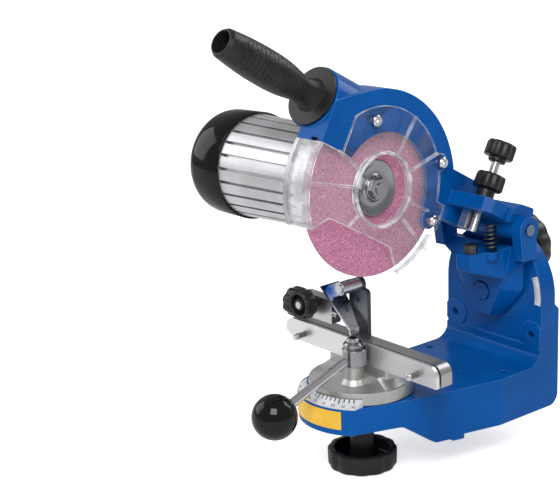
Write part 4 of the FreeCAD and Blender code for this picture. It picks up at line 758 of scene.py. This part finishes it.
class GRINDER_OT_metals(bpy.types.Operator):
    """Finish the bare and plated metal"""
    bl_idname = "grinder.metals"
    bl_label = "Metal parts"

    def execute(self, context):
        table = cast_alloy("machined alloy", rgb(186, 186, 184), 0.42, turned=True)
        motor = cast_alloy("cast alloy", rgb(202, 202, 205), 0.36)
        zinc = plated_steel("zinc plate", rgb(200, 200, 202), 0.3)
        jaws = plated_steel("ground steel", rgb(226, 226, 226), 0.38, patchy=0.03)
        # Painted shade: the rear jaw is a darker copy of the front jaw's steel.
        back = plated_steel("jaw steel with painted shade", rgb(172, 172, 174), 0.34)
        bright = plated_steel("bright chrome", rgb(205, 205, 208), 0.10)
        hub = plated_steel("turned steel", rgb(150, 151, 154), 0.16, patchy=0.15)
        dark = plated_steel("blackened steel", rgb(84, 85, 88), 0.42)
        core = plated_steel("core laminations", rgb(120, 120, 124), 0.5)
        pin = plated_steel("blued pin", rgb(112, 128, 150), 0.3)
        seal = plated_steel("guard edging", rgb(176, 178, 182), 0.4, 0.8)
        # Painted reflection: the blade goes from pale steel at its foot to the dark blue of the
        # casting at its top.
        blade = faded_steel("polished blade", at(0, 0, BLADE_FOOT), 10.0, 36.0,
                            rgb(190, 190, 194), rgb(28, 62, 118), 0.22)
        for finish, nodes in (
                (table, ("turntable",)),
                (motor, ("motor_body", "motor_end_shield", "motor_rear_shield", "inner_flange",
                         "capacitor")),
                (jaws, ("front_jaw",)), (back, ("rear_jaw",)), (blade, ("stop_blade",)),
                (hub, ("cam_hub", "flange_nut", "rotor_shaft")),
                (zinc, ("swivel_stud", "swivel_washer", "stop_pin", "stop_arm", "stop_holder",
                        "adjust_screw", "stop_lock_screw", "tilt_lock_stud",
                        "tilt_lock_washer", "screw_guide", "handle_stud")),
                (pin, ("hinge_pin",)),
                (bright, ("lever_rod", "cam_bolt", "bearings", "guard_screws")),
                (dark, ("stop_post", "depth_stop_bolt")),
                (seal, ("guard_trim",)),
                (core, ("stator_core", "rotor_core"))):
            for node in nodes:
                dress(node, finish)
        dress("stator_windings", windings_copper())
        dished = [(0, SHAFT_BORE), (0, FLANGE_RADIUS - 0.4), (0.4, FLANGE_RADIUS),
                  (1.9, FLANGE_RADIUS), (2.6, FLANGE_RADIUS - 0.7), (2.6, 20.8), (1.3, 18.2),
                  (0.9, 15.0), (1.1, 11.8), (2.2, 10.4), (3.6, 10.0), (4.0, 9.6),
                  (4.0, SHAFT_BORE)]
        stand = stand_on(on_arm(FLANGE_SEAT, 0, 0), arm_frame().to_3x3() @ Vector((1, 0, 0)))
        flange = piece_of("outer_flange_dished", place(lathe(dished, ring=True), stand),
                          "rotor", hub, smooth=30)
        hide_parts("outer_flange")
        return {"FINISHED"}


class GRINDER_OT_knobs(bpy.types.Operator):
    """Mould the lobed knobs"""
    bl_idname = "grinder.knobs"
    bl_label = "Lobed knobs"

    def execute(self, context):
        finish = moulded_black("knob plastic", 0.016, 0.34, 0.00005)
        want = context.scene.grinder_fittings
        large = dict(LARGE_KNOB, lobes=want.large_lobes)
        stop = dict(STOP_KNOB, lobes=want.small_lobes)
        depth = dict(DEPTH_KNOB, lobes=want.small_lobes)
        up = arm_frame().to_3x3() @ UP
        tilt_place, tilt_axis = joint("tilt_knob_turn")
        for node, body, start, axis, shape in (
                ("swivel_knob", "table_knob", at(*SWIVEL_KNOB_FOOT), -UP,
                 dict(large, neck=26.9, bore=5.05)),
                ("tilt_lock_knob", "tilt_knob", tilt_place + tilt_axis * TILT_KNOB_SEAT * MM,
                 tilt_axis, dict(large, neck=9.0, bore=4.05)),
                ("adjust_knob", "stop_adjuster", at(*ADJUST_KNOB_FOOT), Vector((-1, 0, 0)),
                 dict(stop, neck=7.2)),
                ("stop_lock_knob", "stop_locker", at(*STOP_LOCK_KNOB_FOOT), Vector((0, -1, 0)),
                 dict(stop, neck=5.0)),
                ("depth_knob", "depth_dial", on_arm(*DEPTH_AXIS, DEPTH_KNOB_FOOT), up,
                 dict(depth, neck=4.0)),
                ("depth_lock_knob", "depth_locker", on_arm(*DEPTH_AXIS, DEPTH_LOCK_KNOB_FOOT),
                 up, dict(depth, neck=9.3, open_bore=True))):
            stand = stand_on(start, axis)
            piece = piece_of(node + "_moulded", place(knob(**shape), stand), body, finish,
                             smooth=38)
            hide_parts(node)
        return {"FINISHED"}


class GRINDER_OT_screws(bpy.types.Operator):
    """Roll the threads of the visible screws"""
    bl_idname = "grinder.screws"
    bl_label = "Threaded screws"

    def execute(self, context):
        bright = plated_steel("rolled thread", rgb(214, 214, 216), 0.24, 0.1)
        rolled = plated_steel("dark rolled thread", rgb(120, 120, 122), 0.3, 0.1)
        wire = plated_steel("blackened wire", rgb(84, 85, 88), 0.42)

        stand = stand_on(on_arm(*DEPTH_AXIS, SCREW_FOOT), arm_frame().to_3x3() @ UP)
        screw = piece_of("depth_screw_rolled", place(threaded_rod(4.0, SCREW_LENGTH, 1.25), stand),
                         "depth_rod", bright)
        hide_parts("depth_screw")

        swing = joint("arm_pitch")[1]
        lift = swing.cross(Vector((0, 1, 0)))
        foot = stand_on(at(*TILT_AXIS), lift, swing) @ (Vector(SPRING_FOOT) * MM)
        coil = spring_coil(radius=4.2, wire=1.0, length=SPRING_LENGTH, turns=6)
        coil = piece_of("return_spring_coil", place(coil, stand_on(foot, lift)), "head", wire,
                        smooth=60)
        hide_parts("return_spring")
        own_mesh(coil)

        tip = [(0, 0), (0, 2.1), (0.5, 2.9), (2.6, 2.9), (3.2, 2.4), (3.2, 0)]
        nut = [(0, 2.4), (0, 4.8), (0.4, 5.2), (3.6, 5.2), (4.0, 4.8), (4.0, 2.4)]
        for side, x in GUIDE_ACROSS:
            for name, mesh, y, finish, smooth in (
                    ("guide_thread_", threaded_rod(2.5, 30.0, 0.8), GUIDE_THREAD_Y, rolled, 35),
                    ("guide_tip_", lathe(tip, 32), GUIDE_TIP_Y, bright, 35),
                    ("guide_nut_", lathe(nut, 6, ring=True), GUIDE_NUT_Y, bright, 20)):
                stand = stand_on(at(x, y, GUIDE_HEIGHT), Vector((0, 1, 0)))
                piece = piece_of(name + side, place(mesh, stand), "table", finish,
                                 smooth=smooth)
                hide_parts("guide_screws")
        return {"FINISHED"}


class GRINDER_OT_plastics(bpy.types.Operator):
    """Finish the cap, switch and handle"""
    bl_idname = "grinder.plastics"
    bl_label = "Plastic and rubber parts"

    def execute(self, context):
        fan = moulded_black("fan plastic", 0.018, 0.42, 0.00006)
        shell = moulded_black("gloss plastic", 0.005, 0.10, 0.00001)
        box = moulded_black("box plastic", 0.02, 0.5, 0.0001)
        for finish, nodes in ((fan, ("cooling_fan",)),
                              (shell, ("lever_ball", "rocker_switch")),
                              (box, ("switch_box", "cable_gland"))):
            for node in nodes:
                dress(node, finish)
        turned = arm_frame().to_3x3()
        rise = Matrix.Rotation(math.radians(-GRIP_RISE), 3, "X")
        dress("handle_grip", grip_rubber(on_arm(*GRIP_FOOT), (turned @ rise).to_euler()))
        stand = stand_on(on_arm(CAP_MOUTH, 0, 0), turned @ Vector((-1, 0, 0)))
        corner = context.scene.grinder_fittings.cap_corner / MM
        cap = cap_shell(CAP_RADIUS, CAP_LENGTH, corner, CAP_WALL)
        cap = piece_of("motor_cap_moulded", place(cap, stand), "arm", shell,
                       smooth=50)
        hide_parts("motor_cap")
        return {"FINISHED"}


class GRINDER_OT_wheel(bpy.types.Operator):
    """Finish the grinding wheel and its clear guard"""
    bl_idname = "grinder.wheel"
    bl_label = "Wheel and guard"

    def execute(self, context):
        want = context.scene.grinder_finishes
        dress("grinding_wheel", bonded_grit(tuple(want.grit), want.grit_scale))
        arm = arm_frame()
        dress("clear_guard", clear_plastic(want.cloud, arm.translation, arm.to_euler(),
                                           GUARD_FACE * MM))
        return {"FINISHED"}


class GRINDER_OT_plates(bpy.types.Operator):
    """Print the scales and fit the plain side plate"""
    bl_idname = "grinder.plates"
    bl_label = "Scales and plate"

    def execute(self, context):
        want = context.scene.grinder_fittings
        middle = Matrix.Translation(at(0, 0, 0))
        (top, rise), (foot, fall) = SCALE_TOP, SCALE_FOOT
        white = scale_plate(at(0, 0, 0), (0, 0, math.radians(-90)), **ANGLE_LINES)
        band = sector([(top - 0.1, DECK), (foot, DECK), (foot, fall), (top, rise)],
                      SCALE_LEFT, SCALE_RIGHT)
        ends = [Vector((math.cos(math.radians(turn)), math.sin(math.radians(turn)), 0)) * out
                for out, turn in zip((top, foot), SCALE_CUT)]
        cut = bmesh.ops.bisect_plane(band, geom=everything(band), plane_co=ends[0] * MM,
                                     plane_no=UP.cross(ends[1] - ends[0]),
                                     clear_outer=True)["geom_cut"]
        bmesh.ops.contextual_create(band, geom=edges_of(cut))
        band = piece_of("angle_scale_band", place(band, middle), "base", white,
                        smooth=20)
        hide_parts("angle_scale")

        facing = stand_on(at(*TILT_AXIS), Vector((0, -1, 0)), Vector((1, 0, 0)))
        dress("tilt_scale", scale_plate(at(*TILT_AXIS), facing.to_euler(), **TILT_LINES))

        ink = printed("black print", (0.01, 0.01, 0.01), 0.5)
        on_slope = (Matrix.Translation(Vector(FIGURE_SEAT) * MM)
                    @ Matrix.Rotation(math.radians(FIGURE_SLOPE), 4, "X"))
        for number in range(-40, 41, 10):
            figure = flat_text(str(abs(number)), want.figure_height / MM, 0.1)
            turn = Matrix.Rotation(math.radians(number), 4, "Z")
            piece_of("angle_number_%d" % (number + 40), place(figure, middle @ turn @ on_slope),
                     "base", ink, turn_out=False)

        plain = printed("plain yellow plate", tuple(want.plate), 0.38)
        outside = FRONT_RADIUS + PLATE_THICK
        plate = sector([(FRONT_RADIUS, PLATE_LOW), (outside, PLATE_LOW), (outside, PLATE_HIGH),
                        (FRONT_RADIUS, PLATE_HIGH)], PLATE_LEFT, PLATE_RIGHT)
        plate = piece_of("side_plate_curved", place(plate, middle), "base", plain,
                         smooth=30, bevel=0.2)
        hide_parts("side_plate")
        return {"FINISHED"}


def light_room(scene, level, mirrored):
    """Even white room: white to the camera, level to the part, a little more in its gloss."""
    world = scene.world or bpy.data.worlds.new("room")
    scene.world = world
    world.use_nodes = True
    nodes, links = world.node_tree.nodes, world.node_tree.links
    nodes.clear()

    def sums(operation, *values):
        made = nodes.new("ShaderNodeMath")
        made.operation = operation
        for socket, value in zip(made.inputs, values):
            if isinstance(value, bpy.types.NodeSocket):
                links.new(value, socket)
            else:
                socket.default_value = value
        return made.outputs[0]

    ray = nodes.new("ShaderNodeLightPath").outputs
    shown = sums("MAXIMUM", ray["Is Camera Ray"], ray["Is Transmission Ray"])
    gloss = sums("MULTIPLY_ADD", ray["Is Glossy Ray"], mirrored, level)
    room = nodes.new("ShaderNodeBackground")
    room.inputs["Color"].default_value = (1, 1, 1, 1)
    links.new(sums("MAXIMUM", shown, gloss), room.inputs["Strength"])
    links.new(room.outputs[0], nodes.new("ShaderNodeOutputWorld").inputs[0])


class GRINDER_OT_stage(bpy.types.Operator):
    """Set up the floor, the lamps and the camera"""
    bl_idname = "grinder.stage"
    bl_label = "Stage"

    def execute(self, context):
        want = context.scene.grinder_stage
        scene = context.scene
        mesh = bmesh.new()
        bmesh.ops.create_grid(mesh, x_segments=1, y_segments=1, size=FLOOR_SIZE)
        bmesh.ops.translate(mesh, verts=mesh.verts,
                            vec=(0, 0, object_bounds()[0].z - FLOOR_GAP * MM))
        data = bpy.data.meshes.new("floor")
        mesh.to_mesh(data)
        mesh.free()
        floor = bpy.data.objects.new("floor", data)
        scene.collection.objects.link(floor)
        pale = Finish("pale floor", Base_Color=(0.9, 0.9, 0.9), Roughness=0.9)
        seen = pale.node("ShaderNodeLightPath", {}, {}, "Is Camera Ray")
        pale.set(Emission_Color=pale.tint(seen, (0.0, 0.0, 0.0), (1.0, 1.0, 1.0)),
                 Emission_Strength=want.floor_glow)
        data.materials.append(pale.material)
        floor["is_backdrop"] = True
        light_room(scene, want.world, want.mirrored)

        target = Vector((0, 0, 0.12))
        for name, spot, size, power in (
                ("key", (0.9, -1.1, 1.5), 1.0, want.key),
                ("fill", (-1.4, -0.9, 0.9), 1.2, want.key * 0.35),
                ("rim", (0.2, 1.5, 1.2), 1.0, want.key * 0.45)):
            lamp = bpy.data.lights.new(name, "AREA")
            lamp.size = size
            lamp.energy = power
            thing = bpy.data.objects.new(name, lamp)
            thing.location = spot
            thing.rotation_euler = (target - thing.location).to_track_quat("-Z", "Y").to_euler()
            scene.collection.objects.link(thing)

        camera_data = bpy.data.cameras.new("camera")
        camera_data.lens = want.lens
        camera_data.sensor_width = SENSOR_WIDTH
        camera_data.clip_start = 0.05
        camera_data.clip_end = 50.0
        camera = bpy.data.objects.new("camera", camera_data)
        right, above = Vector(CAMERA_RIGHT), Vector(CAMERA_UP)
        turn = Matrix((right, above, right.cross(above))).transposed()
        camera.matrix_world = Matrix.Translation(CAMERA_PLACE) @ turn.to_4x4()
        scene.collection.objects.link(camera)
        scene.camera = camera
        scene.view_settings.view_transform = "Standard"
        return {"FINISHED"}


class GRINDER_PT_panel(bpy.types.Panel):
    """Shows the grinder's steps and their settings"""
    bl_idname = "GRINDER_PT_panel"
    bl_label = "Bench chain grinder"
    bl_space_type = "VIEW_3D"
    bl_region_type = "UI"
    bl_category = "Grinder"

    def draw(self, context):
        for operator in OPERATORS:
            self.layout.operator(operator.bl_idname)
        for group in (context.scene.grinder_finishes, context.scene.grinder_fittings,
                      context.scene.grinder_stage):
            for key in group.bl_rna.properties.keys():
                if key not in ("rna_type", "name"):
                    self.layout.prop(group, key)


OPERATORS = (GRINDER_OT_castings, GRINDER_OT_metals, GRINDER_OT_knobs, GRINDER_OT_screws,
             GRINDER_OT_plastics, GRINDER_OT_wheel, GRINDER_OT_plates, GRINDER_OT_stage)
CLASSES = (GRINDER_PG_finishes, GRINDER_PG_fittings, GRINDER_PG_stage, *OPERATORS,
           GRINDER_PT_panel)


def register():
    for cls in CLASSES:
        bpy.utils.register_class(cls)
    bpy.types.Scene.grinder_finishes = PointerProperty(type=GRINDER_PG_finishes)
    bpy.types.Scene.grinder_fittings = PointerProperty(type=GRINDER_PG_fittings)
    bpy.types.Scene.grinder_stage = PointerProperty(type=GRINDER_PG_stage)


def unregister():
    del bpy.types.Scene.grinder_stage
    del bpy.types.Scene.grinder_fittings
    del bpy.types.Scene.grinder_finishes
    for cls in reversed(CLASSES):
        bpy.utils.unregister_class(cls)


def main():
    register()
    bpy.ops.grinder.castings()
    bpy.ops.grinder.metals()
    bpy.ops.grinder.knobs()
    bpy.ops.grinder.screws()
    bpy.ops.grinder.plastics()
    bpy.ops.grinder.wheel()
    bpy.ops.grinder.plates()
    bpy.ops.grinder.stage()


if __name__ == "__main__":
    main()
